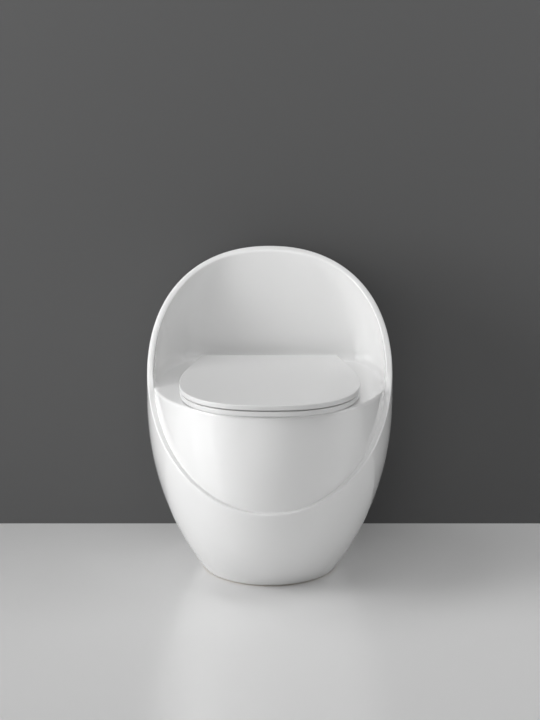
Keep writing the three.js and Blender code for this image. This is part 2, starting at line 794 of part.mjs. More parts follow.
function makeButtons() {
  const nutTop = -button.nutDepth - touchGap;
  const floorTop = -button.housingDepth + button.housingWall;
  const capBottom = button.bezelRise + button.capRise - button.capThickness;
  const bodyBore = button.housingRadius - button.housingWall;
  let bezel = post(button.bezelRadius, touchGap - button.bezelSink, button.bezelRise);
  bezel = bezel.add(post(button.housingRadius, -button.housingDepth, 0));
  bezel = bezel.subtract(post(bodyBore, floorTop, button.bezelRise + overrun));
  const stems = { full: (button.split - bodyBore) / 2, half: (button.split + bodyBore) / 2 };
  for (const x of Object.values(stems)) {
    bezel = bezel.subtract(post(
      button.stemRadius + touchGap, -button.housingDepth - overrun, floorTop + overrun, x, 0, fine.small));
  }
  addPiece('button_bezel', bezel, chromePlate, buttonGroup);
  const capTop = button.bezelRise + button.capRise;
  for (const [name, side] of [['full', -1], ['half', 1]]) {
    const cap = halfDisc(bodyBore - touchGap, capBottom, capTop, side);
    const stem = post(
      button.stemRadius, -button.housingDepth, capBottom + touchGap, stems[name], 0, fine.small);
    addPiece(`button_${name}`, cap.add(stem), chromePlate, buttonGroup);
    const coil = springSolid(stems[name], floorTop + touchGap, capBottom - touchGap);
    addPiece(`button_spring_${name}`, coil, steel, buttonGroup);
  }
  const nut = tube(button.nutRadius, button.housingRadius + touchGap, nutTop - button.nutThickness, nutTop);
  addPiece('button_nut', nut, whitePlastic, buttonGroup);
  model.add(buttonGroup);
}

// Places on the valve's top plate, beside the overflow tube, in front of it or behind it
function flushTopPlace(side) {
  const reach = (flush.tubeRadius + flush.cageRadius) / 2;
  return {
    x: flushX + reach * Math.cos(flushTopTurn),
    y: flushY + side * reach * Math.sin(flushTopTurn),
  };
}

function makeFlushValve() {
  const x = flushX;
  const y = flushY;
  const gasketBottom = tank.floorTop + touchGap;
  const flangeBottom = gasketBottom + flush.gasketThickness + touchGap;
  const flangeTop = flangeBottom + flush.flangeThickness;
  const cageInside = flush.cageRadius - flush.cageWall;
  const earHole = (side) => post(
    flush.boltRadius + touchGap, tankFloorBottom, cageTop, x + side * flush.earReach, y, fine.small);
  const ear = (side, z0, z1) => {
    const reach = post(flush.earRadius, z0, z1, x + side * flush.earReach, y, fine.small);
    const arm = block(
      Math.min(x, x + side * flush.earReach), Math.max(x, x + side * flush.earReach),
      y - flush.earRadius, y + flush.earRadius, z0, z1);
    return reach.add(arm);
  };
  const spigotBore = flush.spigotRadius - flush.spigotWall;
  const gasketTop = gasketBottom + flush.gasketThickness;
  let gasket = post(flush.flangeRadius, gasketBottom, gasketTop, x, y);
  for (const side of [-1, 1]) {
    gasket = gasket.add(ear(side, gasketBottom, gasketTop)).subtract(earHole(side));
  }
  gasket = gasket.subtract(post(flush.spigotRadius + touchGap, tankFloorBottom, cageTop, x, y));
  addPiece('flush_valve_gasket', gasket, blackRubber);

  let body = post(flush.flangeRadius, flangeBottom, flangeTop, x, y);
  for (const side of [-1, 1]) body = body.add(ear(side, flangeBottom, flangeTop)).subtract(earHole(side));
  body = body.add(post(flush.cageRadius, flangeBottom, cageTop, x, y));
  body = body.add(post(flush.spigotRadius, tankFloorBottom, flangeTop, x, y));
  body = body.subtract(post(cageInside, flangeTop, cageTop - flush.topThickness, x, y));
  body = body.subtract(post(spigotBore, tankFloorBottom - overrun, flangeTop + overrun, x, y));
  body = body.subtract(post(flush.tubeRadius + touchGap, flangeTop, cageTop + overrun, x, y));
  const windowTop = flangeTop + touchGap + flush.windowHeight;
  for (const turned of [0, 1]) {
    const across = turned ? flush.windowWidth / 2 : flush.flangeRadius + overrun;
    const along = turned ? flush.flangeRadius + overrun : flush.windowWidth / 2;
    body = body.subtract(block(
      x - across, x + across, y - along, y + along, flangeTop + touchGap, windowTop));
  }
  const port = flushTopPlace(-1);
  body = body.add(post(
    flush.portRadius, cageTop - touchGap, cageTop + flush.portHeight, port.x, port.y, fine.small));
  addPiece('flush_valve_body', body, whitePlastic);

  const sealBottom = flangeTop + touchGap;
  const discBottom = sealBottom + flush.sealThickness + touchGap;
  const sealRing = tube(
    flush.discRadius, spigotBore - flush.seatWidth, sealBottom, discBottom - touchGap, x, y);
  addPiece('flush_seal', sealRing, blackRubber);
  const tubeTop = cageTop + flush.tubeAboveCage;
  const disc = post(flush.discRadius, discBottom, discBottom + flush.discThickness, x, y);
  const core = disc.add(post(flush.tubeRadius, discBottom, tubeTop, x, y)).subtract(
    post(flush.tubeRadius - flush.tubeWall, discBottom - overrun, tubeTop + overrun, x, y));
  addPiece('flush_core', core, bluePlastic);

  for (const [name, side] of [['left', -1], ['right', 1]]) {
    const boltX = x + side * flush.earReach;
    const nutTop = tankFloorBottom - touchGap;
    const headTop = flangeTop + flush.boltHeadHeight;
    const shank = post(flush.boltRadius, nutTop - flush.boltTail, headTop, boltX, y, fine.small);
    const head = post(flush.boltHeadRadius, flangeTop + touchGap, headTop, boltX, y, fine.small);
    addPiece(`valve_bolt_${name}`, shank.add(head), steel);
    const nut = tube(
      flush.nutRadius, flush.boltRadius + touchGap, nutTop - flush.nutHeight, nutTop, boltX, y, fine.hexagon);
    addPiece(`valve_nut_${name}`, nut, steel);
  }
}

function makeFillValve() {
  const x = fillX;
  const y = fillY;
  const washerTop = tank.floorTop + touchGap + fill.washerThickness;
  const washer = tube(
    fill.washerRadius, fill.shankRadius + touchGap, tank.floorTop + touchGap, washerTop, x, y);
  addPiece('fill_valve_washer', washer, blackRubber);
  const flangeTop = washerTop + touchGap + fill.flangeThickness;
  let stem = post(fill.shankRadius, fill.shankEnd, flangeTop, x, y);
  stem = stem.add(post(fill.washerRadius, washerTop + touchGap, flangeTop, x, y));
  stem = stem.add(post(fill.stemRadius, flangeTop - touchGap, stemTop, x, y));
  stem = stem.subtract(post(fill.shankBore, fill.shankEnd - overrun, stemTop - fill.flangeThickness, x, y));
  addPiece('fill_valve_stem', stem, whitePlastic);
  const nutTop = tankFloorBottom - touchGap;
  const nut = tube(
    fill.nutRadius, fill.shankRadius + touchGap, nutTop - fill.nutThickness, nutTop, x, y, fine.octagon);
  addPiece('fill_valve_nut', nut, whitePlastic);

  const capBottom = stemTop + touchGap;
  const capTop = capBottom + fill.headHeight;
  const pivotZ = capTop + fill.pivotRise;
  let cap = post(fill.headRadius, capBottom, capTop, x, y);
  for (const side of [-1, 1]) {
    const cheek = side * (fill.leverWidth / 2 + touchGap + fill.leverThickness / 2);
    const half = fill.leverThickness / 2;
    cap = cap.add(block(
      x - fill.bossRadius, x + fill.bossRadius,
      y + cheek - half, y + cheek + half,
      capTop - touchGap, pivotZ + fill.bossRadius));
  }
  const pinReach = fill.leverWidth / 2 + touchGap + fill.leverThickness / 2;
  cap = cap.add(bar(fill.pivotRadius, y - pinReach, y + pinReach, x, pivotZ, fine.small));
  const nozzleX = x - fill.headRadius;
  cap = cap.add(rod(refill.radius, nozzleX - refill.nozzle, x, y, (capBottom + capTop) / 2));
  addPiece('fill_valve_cap', cap, bluePlastic);

  const leverEnd = x + fill.leverLength;
  const half = fill.leverWidth / 2;
  const pivotHole = bar(
    fill.pivotRadius + touchGap, y - half - overrun, y + half + overrun, x, pivotZ, fine.small);
  const boss = bar(fill.bossRadius, y - half, y + half, x, pivotZ, fine.small);
  const arm = block(
    x, leverEnd, y - half, y + half, pivotZ - fill.leverThickness / 2, pivotZ + fill.leverThickness / 2);
  addPiece('float_lever', arm.add(boss).subtract(pivotHole), bluePlastic);

  let cup = tube(fill.cupRadius, fill.stemRadius + touchGap * 2, cupTop - cupHeight, cupTop, x, y);
  cup = cup.subtract(tube(
    fill.cupRadius - fill.cupWall, fill.stemRadius + touchGap * 2 + fill.cupWall,
    cupTop - cupHeight - overrun, cupTop - fill.cupWall, x, y));
  const linkX = x + (fill.cupRadius + fill.stemRadius) / 2;
  cup = cup.add(post(
    fill.linkRadius, cupTop - touchGap, pivotZ - fill.leverThickness / 2 - touchGap, linkX, y, fine.small));
  addPiece('float_cup', cup, whitePlastic);
  makeRefillTube(nozzleX - refill.nozzle, y, (capBottom + capTop) / 2);
}

function makeRefillTube(startX, y, startZ) {
  const end = flushTopPlace(-1);
  const endZ = cageTop + flush.portHeight + touchGap;
  const points = [
    new THREE.Vector3(startX - touchGap, y, startZ),
    new THREE.Vector3(startX - refill.nozzle, y, startZ),
    new THREE.Vector3((startX + end.x) / 2, (y + end.y) / 2, startZ + refill.rise / 2),
    new THREE.Vector3(end.x + refill.radius, end.y, endZ + refill.rise / 2),
    new THREE.Vector3(end.x, end.y, endZ + refill.radius),
    new THREE.Vector3(end.x, end.y, endZ),
  ];
  addPiece('refill_tube', bentBar(points, refill.radius, fine.cordSteps, fine.cordSides), whitePlastic);
}

function makeFlushCable() {
  const local = new THREE.Vector3(0, 0, -button.housingDepth - touchGap * 3);
  const start = local.applyMatrix4(buttonGroup.matrix);
  const inward = new THREE.Vector3(0, -Math.sin(buttonTilt), -Math.cos(buttonTilt));
  inward.multiplyScalar(cable.straight);
  const place = flushTopPlace(1);
  const end = new THREE.Vector3(place.x, place.y, cageTop + touchGap);
  const points = [
    start,
    start.clone().add(inward),
    new THREE.Vector3(place.x / 2, (start.y + place.y) / 2, (start.z + end.z) / 2 + cable.rise),
    new THREE.Vector3(place.x, place.y, end.z + cable.drop),
    end,
  ];
  addPiece('flush_cable', bentBar(points, cable.radius, fine.cordSteps, fine.cordSides), blackRubber);
}

const seatBottom = deck.top + seat.deckGap;
const seatTop = seatBottom + seat.thickness;
const lidBottom = seatTop + seat.lidGap;
const lidTop = lidBottom + lid.thickness;
const hingeY = lid.backEdge - hinge.tail;
const hingeZ = deck.top + hinge.aboveDeck;
const hingeFootY = hingeY - hinge.barrelRadius - touchGap;

// The D of the lid seen from above, drawn in by an inset
function lidOutline(inset, backEdge = lid.backEdge) {
  const halfWidth = lid.halfWidth - inset;
  const corner = lid.backHalfWidth - inset;
  const back = backEdge - inset;
  const right = [];
  const power = 2 / lidFrontPower;
  const depth = lid.front - inset - lid.widestForward;
  for (let i = 0; i <= fine.lidFront; i += 1) {
    const angle = (Math.PI / 2) * (i / fine.lidFront);
    const x = halfWidth * Math.sin(angle) ** power;
    right.push([x, -lid.widestForward - depth * Math.cos(angle) ** power]);
  }
  const widest = [halfWidth, -lid.widestForward];
  const shoulder = [halfWidth, -lid.shoulderForward];
  const straight = [lid.straightHalfWidth - inset, lid.straightEnd];
  for (const share of lidSideShares) right.push(bend(widest, shoulder, straight, share));
  const slope = (corner - straight[0]) / (lid.backEdge - lid.straightEnd);
  const cornerX = straight[0] + slope * (back - lid.straightEnd);
  const before = [cornerX - slope * lid.backCorner, back - lid.backCorner];
  const after = [cornerX - lid.backCorner, back];
  for (const share of lidCornerShares) right.push(bend(before, [cornerX, back], after, share));
  const left = right.slice(1).reverse().map(([x, y]) => [-x, y]);
  return [...right, ...left];
}

// Barrels that swing on one hinge, as bars along X
function hingeBar(radius, side, inner, outer) {
  const ends = [inner, outer].map((reach) => side * (hinge.halfSpacing + reach));
  return rod(radius, Math.min(...ends), Math.max(...ends), hingeY, hingeZ);
}
const lugInner = hinge.postWidth / 2 + hinge.lugGap;
const lugOuter = lugInner + hinge.lugWidth;
// Seat lugs lie outside the posts, and lid lugs inside them
const seatLug = (radius, side) => hingeBar(radius, side, lugInner, lugOuter);
const lidLug = (radius, side) => hingeBar(radius, side, -lugOuter, -lugInner);

function bumperPlaces(shares) {
  const places = [];
  for (const { across, along } of shares) {
    for (const side of [-1, 1]) places.push([side * across * lid.halfWidth, along * lid.front]);
  }
  return places;
}

function addBumpers(name, shares, z0, z1) {
  const pad = (place, radius, low, high) => post(radius, low, high, place[0], place[1], fine.small);
  const places = bumperPlaces(shares);
  places.forEach((place, i) => addPiece(`${name}_${i + 1}`, pad(place, bumper.radius, z0, z1), paleRubber));
  return places.map((place) => pad(place, bumper.radius + touchGap, z0 - overrun, z1 + touchGap));
}

function makeSeat() {
  let body = slab(lidOutline(seat.inset), seatBottom, seatTop, lid.edgeRound);
  const middle = (seat.holeRear - seat.holeFront) / 2;
  const reach = (seat.holeRear + seat.holeFront) / 2;
  const hole = anglesAround(fine.basinSides).map((angle) => [
    seat.holeHalfWidth * signedPower(Math.cos(angle), 2 / seat.holePower),
    middle + reach * signedPower(Math.sin(angle), 2 / seat.holePower),
  ]);
  body = body.subtract(slab(hole, seatBottom - overrun, seatTop + overrun));
  body = body.subtract(block(
    -lid.halfWidth, lid.halfWidth, seat.backEdge, lid.backEdge + overrun, 0, lidTop));
  for (const side of [-1, 1]) {
    const x = side * hinge.halfSpacing;
    const footReach = hinge.discRadius + hinge.lugGap;
    const past = x - side * (lugOuter + hinge.lugGap);
    const lidLugSpace = block(
      Math.min(x, past), Math.max(x, past), hingeY - hinge.lidLugSpace, lid.backEdge, 0, lidTop);
    const postSpace = block(
      x - lugInner, x + lugInner, hingeFootY - footReach, lid.backEdge, 0, lidTop);
    const footSpace = post(footReach, 0, lidTop, x, hingeFootY);
    body = body.subtract(postSpace).subtract(lidLugSpace).subtract(footSpace);
    const lugX0 = Math.min(x + side * lugInner, x + side * lugOuter);
    const lugX1 = Math.max(x + side * lugInner, x + side * lugOuter);
    const arm = block(lugX0, lugX1, seat.backEdge - overrun, hingeY, hingeZ - hinge.barrelRadius, seatTop);
    body = body.add(seatLug(hinge.barrelRadius, side)).add(arm);
    body = body.subtract(hingeBar(hinge.pinRadius + touchGap, side, 0, lugOuter + overrun));
  }
  body = body.subtract(hingeBar(hinge.damperRadius + touchGap, -1, lugInner + touchGap, lugOuter + overrun));
  const pockets = addBumpers(
    'seat_bumper', seatBumperShares, deck.top + touchGap, seatBottom + bumper.sink);
  for (const pocket of pockets) body = body.subtract(pocket);
  addPiece('seat_ring', body, seatPlastic);
}

function makeLid() {
  let body = slab(lidOutline(0), lidBottom, lidTop, lid.edgeRound);
  const low = deck.top - overrun;
  for (const side of [-1, 1]) {
    const x = side * hinge.halfSpacing;
    body = body.add(lidLug(hinge.barrelRadius, side));
    const clear = hinge.barrelRadius + hinge.pocketClear;
    const pocket = hingeBar(clear, side, -lugInner + touchGap, lugOuter + hinge.lugGap);
    const x0 = Math.min(x - side * (lugInner - touchGap), x + side * (lugOuter + hinge.lugGap));
    const x1 = Math.max(x - side * (lugInner - touchGap), x + side * (lugOuter + hinge.lugGap));
    const below = block(x0, x1, hingeY - clear, hingeY + clear, low, hingeZ);
    body = body.subtract(pocket).subtract(below);
    body = body.subtract(hingeBar(hinge.pinRadius + touchGap, side, -lugOuter - overrun, 0));
  }
  body = body.subtract(hingeBar(hinge.damperRadius + touchGap, 1, -lugOuter - overrun, -lugInner - touchGap));
  const pockets = addBumpers(
    'lid_bumper', lidBumperShares, seatTop + touchGap, lidBottom + bumper.sink);
  for (const pocket of pockets) body = body.subtract(pocket);
  addPiece('lid', body, seatPlastic);
}

function makeHinges() {
  for (const [name, side] of [['left', -1], ['right', 1]]) {
    const x = side * hinge.halfSpacing;
    const half = hinge.postWidth / 2;
    const footTop = deck.top + touchGap + hinge.discThickness;
    let stand = post(hinge.discRadius, deck.top + touchGap, footTop, x, hingeFootY);
    stand = stand.subtract(block(
      x - hinge.discRadius, x + hinge.discRadius, hingeY - hinge.tailClear, hingeY + hinge.discRadius,
      deck.top + seat.deckGap / 2, footTop + overrun));
    stand = stand.add(block(
      x - half, x + half, hingeY - hinge.barrelRadius, hingeY - hinge.tailClear, footTop - touchGap, hingeZ));
    stand = stand.add(rod(hinge.barrelRadius, x - half, x + half, hingeY, hingeZ));
    const pinHole = rod(
      hinge.pinRadius + touchGap, x - half - overrun, x + half + overrun, hingeY, hingeZ);
    stand = stand.subtract(pinHole);
    addPiece(`hinge_post_${name}`, stand, chromePlate);
    addPinAndDamper(name, side);
    addDeckBolt(name, x);
  }
}

function addPinAndDamper(name, side) {
  const damped = side < 0 ? 'seat' : 'lid';
  const shorter = hinge.damperLength + touchGap * 2;
  const inner = -lugOuter + touchGap + (side > 0 ? shorter : 0);
  const outer = lugOuter - touchGap - (side < 0 ? shorter : 0);
  addPiece(`hinge_pin_${name}`, hingeBar(hinge.pinRadius, side, inner, outer), steel);
  const start = side < 0 ? outer + touchGap : -lugOuter + touchGap;
  const damper = hingeBar(hinge.damperRadius, side, start, start + hinge.damperLength);
  addPiece(`${damped}_damper`, damper, blackRubber);
}

function addDeckBolt(name, x) {
  const deckBottom = deck.top - deck.thickness;
  const y = hingeFootY;
  const plugTop = deck.top;
  let plug = post(deckBolt.plugRadius, plugTop - deckBolt.plugLength, plugTop, x, y);
  const flangeTop = deckBottom - touchGap;
  plug = plug.add(post(deckBolt.plugFlange, plugTop - deckBolt.plugLength, flangeTop, x, y));
  plug = plug.subtract(post(deckBolt.radius + touchGap, 0, lidTop, x, y, fine.small));
  addPiece(`expansion_plug_${name}`, plug, blackRubber);
  const shank = post(deckBolt.radius, plugTop - deckBolt.length, deck.top, x, y, fine.small);
  const nutTop = plugTop - deckBolt.plugLength - touchGap;
  const nut = post(deckBolt.headRadius, nutTop - deckBolt.headHeight, nutTop, x, y, fine.hexagon);
  addPiece(`hinge_bolt_${name}`, shank.add(nut), steel);
}

function makeFloorFixings() {
  const y = bracket.behindOrigin;
  const z = bracket.screwHeight;
  for (const [name, side] of [['left', -1], ['right', 1]]) {
    const outside = wallReach(z, y, noWall);
    const inside = wallReach(z - bracket.height / 2, y, shellWall) - shellWall.side / 2;
    const face = inside - touchGap;
    const span = (a, b) => [Math.min(side * a, side * b), Math.max(side * a, side * b)];
    const [plate0, plate1] = span(face - bracket.thickness, face);
    const [foot0, foot1] = span(face - bracket.foot, face);
    const y0 = y - bracket.width / 2;
    const y1 = y + bracket.width / 2;
    let angle = block(plate0, plate1, y0, y1, 0, bracket.height);
    angle = angle.add(block(foot0, foot1, y0, y1, 0, bracket.thickness));
    const [hole0, hole1] = span(0, egg.halfWidth);
    angle = angle.subtract(rod(bracket.screwRadius + touchGap, hole0, hole1, y, z));
    addPiece(`floor_bracket_${name}`, angle.subtract(shellAndGap), steel);
    const head = outside + shellWall.side / 2;
    const [shank0, shank1] = span(face - bracket.screwTail, head);
    const [head0, head1] = span(head - bracket.headHeight, head);
    const shank = rod(bracket.screwRadius, shank0, shank1, y, z);
    const screw = shank.add(rod(bracket.headRadius, head0, head1, y, z));
    addPiece(`side_screw_${name}`, screw, steel);
    const [cap0, cap1] = span(outside - shellWall.side / 2, head + touchGap + bracket.capDepth);
    const [bore0, bore1] = span(0, head + touchGap);
    let cap = rod(bracket.capRadius, cap0, cap1, y, z, fine.round);
    cap = cap.subtract(rod(bracket.headRadius + touchGap, bore0, bore1, y, z)).subtract(shellAndGap);
    addPiece(`screw_cap_${name}`, cap, seatPlastic);
  }
}

// Half the body's width at a height and a depth
function wallReach(z, y, wall) {
  const section = eggSection(z, wall);
  const reach = y < section.middle ? section.middle - section.front : section.back - section.middle;
  const share = Math.min(1, Math.abs(y - section.middle) / reach);
  return section.halfWidth * (1 - share ** eggPowerShares.rearPlan) ** (1 / eggPowerShares.rearPlan);
}

makeOuterShell();
makeDeck();
makeBowl();
makeFlushDuct();
makeTrapway();
makeCistern();
makeTankCover();
makeButtons();
makeFlushValve();
makeFillValve();
makeFlushCable();
makeHinges();
makeSeat();
makeLid();
makeFloorFixings();

export default model;
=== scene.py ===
"""Dresses the siphonic toilet: glazed egg-shaped body, seat and lid, tank fittings and a plain studio."""
import json
import math

import bmesh
import bpy
from bpy.props import FloatProperty, FloatVectorProperty, PointerProperty
from mathutils import Matrix, Vector


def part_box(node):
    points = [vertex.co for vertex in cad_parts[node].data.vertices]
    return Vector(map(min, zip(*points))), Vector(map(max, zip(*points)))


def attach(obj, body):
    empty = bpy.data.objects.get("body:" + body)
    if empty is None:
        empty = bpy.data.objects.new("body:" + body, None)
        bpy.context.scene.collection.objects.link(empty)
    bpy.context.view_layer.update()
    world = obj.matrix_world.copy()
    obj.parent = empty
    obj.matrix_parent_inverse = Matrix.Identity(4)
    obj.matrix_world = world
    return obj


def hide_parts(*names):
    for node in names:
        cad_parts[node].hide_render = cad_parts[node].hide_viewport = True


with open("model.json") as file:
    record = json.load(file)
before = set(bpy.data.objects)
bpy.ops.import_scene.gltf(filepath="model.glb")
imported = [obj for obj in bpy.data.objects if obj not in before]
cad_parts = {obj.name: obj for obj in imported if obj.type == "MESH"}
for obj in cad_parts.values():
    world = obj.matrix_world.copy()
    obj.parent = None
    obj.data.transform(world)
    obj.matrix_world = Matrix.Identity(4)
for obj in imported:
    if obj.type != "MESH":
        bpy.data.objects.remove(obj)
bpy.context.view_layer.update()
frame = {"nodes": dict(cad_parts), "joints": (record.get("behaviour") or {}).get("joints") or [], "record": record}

bl_info = {
    "name": "Hooded Toilet",
    "version": (1, 0, 0),
    "blender": (4, 5, 0),
    "location": "3D View > Sidebar > Toilet",
    "description": "Models and glazes a hooded one-piece toilet round its working parts",
    "category": "Object",
}

# Places that come from the frame: the tank's front and bottom, the valves, the lid and the hinge
PANEL_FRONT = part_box("cistern")[0].y
TANK_FLOOR_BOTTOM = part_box("cistern")[0].z
FLUSH_MIDDLE = (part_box("flush_core")[0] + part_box("flush_core")[1]) / 2
FILL_MIDDLE = (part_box("fill_valve_washer")[0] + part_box("fill_valve_washer")[1]) / 2
LID_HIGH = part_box("lid")[1]
RECORD_JOINTS = frame["record"]["behaviour"]["joints"]
HINGE = Vector(next(joint["pos_m"] for joint in RECORD_JOINTS if joint["name"] == "seat_hinge"))

# How finely the surfaces are divided
AROUND = 320
INSIDE_AROUND = 160
BASIN_ROWS = 30
LIP_ROWS = 6
DECK_ROWS = 10
FILLET_ROWS = 10
HOOD_ROWS = 28
RIM_ROWS = 7
CREST_ROWS = 3
WALL_ROWS = 46
BASE_ROWS = 4
COVER_ROWS = 60
COVER_AROUND = 240
TUBE_ROWS = 72
TUBE_SIDES = 40

# Angles in degrees above which an edge stays crisp
CHINA_CREASE = 32
PART_CREASE = 40
PIPE_CREASE = 50

# Where the rim turns from the hood into the front ridge, over which height about the deck
RIDGE_BLEND = 0.050
# The rim's profile in three places: round the hood, at the sides of the ridge and at its middle.
# The first two are shares of the way from the crease to the outside, the third is a share of the rounding.
CREST_START = (0.27, 0.14, 0.34)
CREST_END = (0.62, 0.80, 0.60)
SHOULDER = (1, 0.8, 1.5)
# How far the ridge's inner rounding reaches up the apron, at its sides and at its middle
RIDGE_INNER_ROUND = (0.002, 0.004)
# The crease's depth at the middle of the ridge, as a share of its depth at the sides
MIDDLE_CREASE = 0.35
FOOT_ROUND = 0.003
# Where the basin's lip starts, counted in rows of BASIN_SHARES
LIP_ROW = 0.44

# The opening in the rear of the skirt
OPENING_HALF_WIDTH, OPENING_FOOT, OPENING_HEAD = 0.105, 0.040, 0.290
# The duct from the tank to the basin, and its hollow
DUCT_HALF_WIDTH, DUCT_WALL, DUCT_FRONT, DUCT_REAR, DUCT_FOOT = 0.030, 0.007, -0.020, 0.262, 0.264
HOLLOW_FRONT, HOLLOW_REAR, HOLLOW_FOOT, HOLLOW_HEAD = 0.0, 0.255, 0.271, 0.3207
# The collar round the siphon's inlet
INLET_HEIGHT, COLLAR_RADIUS, INLET_RADIUS = 0.149, 0.034, 0.026
# Radii of the holes in the china, and the places of those that aren't at a valve
SPIGOT_HOLE, SHANK_HOLE, BOLT_HOLE, SCREW_HOLE, PLUG_HOLE = 0.0203, 0.0103, 0.0031, 0.0033, 0.0093
BOLT_SPREAD, SCREW_Y, SCREW_HEIGHT = 0.038, 0.175, 0.030
# Height above the tank's floor up to which its holes are cut
HOLE_HEAD = 0.350
TANK_ROOF = 0.012

# A hair less than a surface, so that two surfaces don't coincide
HAIR = 0.0005
# The cover's lower edge above the hatch's, its skirt, and the seats for the flush button
COVER_LOW = 0.03
SKIRT_GAP, SKIRT_OVERLAP, SKIRT_WALL, SKIRT_ROOF = 0.0006, 0.0012, 0.004, 0.005
BEZEL_HOLE, BEZEL_SEAT, NUT_SEAT = 0.0183, 0.0253, 0.0218
BEZEL_DEPTH, NUT_DEPTH, DRILL_REACH = 0.002, 0.015, 0.08
BUTTON_Y, BUTTON_HEIGHT = 0.2513, 0.61166

# The seat and the lid: their thickness, the gap between them and how much smaller the seat is
SHEET, SEAT_GAP, SEAT_INSET = 0.0105, 0.002, 0.001
# The hinge: reach of a lug from the post's middle, its radius, its pin's hole and the room round it
LUG_INNER, LUG_OUTER, LUG_RADIUS, PIN_HOLE, LUG_ROOM = 0.0116, 0.0336, 0.0065, 0.0033, 0.0006
POCKET_RADIUS, POCKET_ROOM = 0.0073, 0.0003
FOOT_RELIEF, FOOT_Y, POST_RELIEF_Y, LUG_RELIEF_Y = 0.0186, 0.1152, 0.0966, 0.1025
ARM_Y, ARM_HEIGHT = 0.098, 0.4225
RELIEF_LOW, RELIEF_HIGH, RELIEF_REAR = 0.40, 0.45, 0.2
BUMPER_POCKET, BUMPER_ROOM, DAMPER_BORE = 0.0093, 0.0003, 0.0045

# The flush button's caps and stems, and the nut below it
CAP_LOW, CAP_HIGH, CAP_ROUND, CAP_GAP = 0.0002, 0.0032, 0.0007, 0.0003
STEM_RADIUS, STEM_HOLE, STEM_HEAD = 0.003, 0.0033, 0.0008
NUT_HIGH, NUT_LOW, NUT_GAP, NUT_GRIPS, GRIP_RADIUS = -0.0153, -0.0198, 0.0003, 16, 0.0012
# The screw cap's hollow
CAP_HOLLOW, CAP_WALL, CAP_DOME = 0.0063, 0.005, 0.004

# The siphon: its down leg, its lower run, its weir, its last bend and its end
LEG_Y, RUN_HEIGHT, WEIR_HEIGHT, BEND, END_Y = 0.207, 0.072, 0.279, 0.040, 0.005
# The cage on the flush valve that the cable and the refill tube reach, and where the refill tube starts
CAGE_RADIUS, NOZZLE_HEIGHT = 0.0175, 0.5143


def length(label, text, default):
    """A length that a user may change, in metres."""
    return FloatProperty(name=label, description=text, default=default, unit="LENGTH", min=0.0, precision=4)


def share(label, text, default):
    """A plain number that a user may change."""
    return FloatProperty(name=label, description=text, default=default, min=0.0, precision=3)


def colour(label, text, default):
    """A colour that a user may change."""
    return FloatVectorProperty(name=label, description=text, default=default, subtype="COLOR", size=3,
                               min=0.0, max=1.0)


class BodyShape(bpy.types.PropertyGroup):
    """Sizes of the egg that the body is cut from, and of its rim."""

    half_width: length("Half width", "Half the egg's width at its waist", 0.2564)
    front: length("Front reach", "From the origin to the egg's front at its waist", 0.305)
    back: length("Back reach", "From the origin to the egg's back at its waist", 0.3049)
    base_half_width: length("Base half width", "Half the width on the floor", 0.1444)
    base_front: length("Base front", "From the origin to the front of the base", 0.119)
    base_back: length("Base back", "From the origin to the back of the base", 0.285)
    waist_height: length("Waist height", "Height of the egg's widest section", 0.380)
    apex_height: length("Apex height", "Height of the whole egg before it is cut", 0.7145)
    waist_forward: length("Waist shift", "How far the waist's middle lies towards the front", 0.003)
    base_setback: length("Base shift", "How far the base's middle lies towards the back", 0.0438)
    apex_forward: length("Apex shift", "How far the apex lies towards the front", 0.0219)
    taper: share("Taper power", "How the width shrinks towards the floor", 2.1)
    front_taper: share("Front taper power", "How the front draws in towards the floor", 2.645)
    dome: share("Dome power", "How round the top of the egg is", 2.647)
    plan: share("Front plan power", "How square the front of the egg's level sections is", 2.015)
    rear_plan: share("Rear plan power", "How square the rear of the egg's level sections is", 2.11)
    rim_front: length("Rim front height", "Height of the sloping rim at the front", 0.204)
    rim_top: length("Rim top height", "Height of the sloping rim at the back", 0.6635)
    rim_round: length("Rim rounding", "Height over which the rim rounds into the outside", 0.0058)
    rim_inner_round: length("Inner rim rounding", "Height over which the rim rounds into the hood", 0.0045)
    crease_depth: length("Crease depth", "Depth of the crease between the apron and the front ridge", 0.0060)
    side_wall: length("Side wall", "Thickness of the china at the sides", 0.013)
    front_wall: length("Front wall", "Depth of the step between the apron and the front", 0.008)
    back_wall: length("Back wall", "Thickness of the china at the back and on top", 0.012)


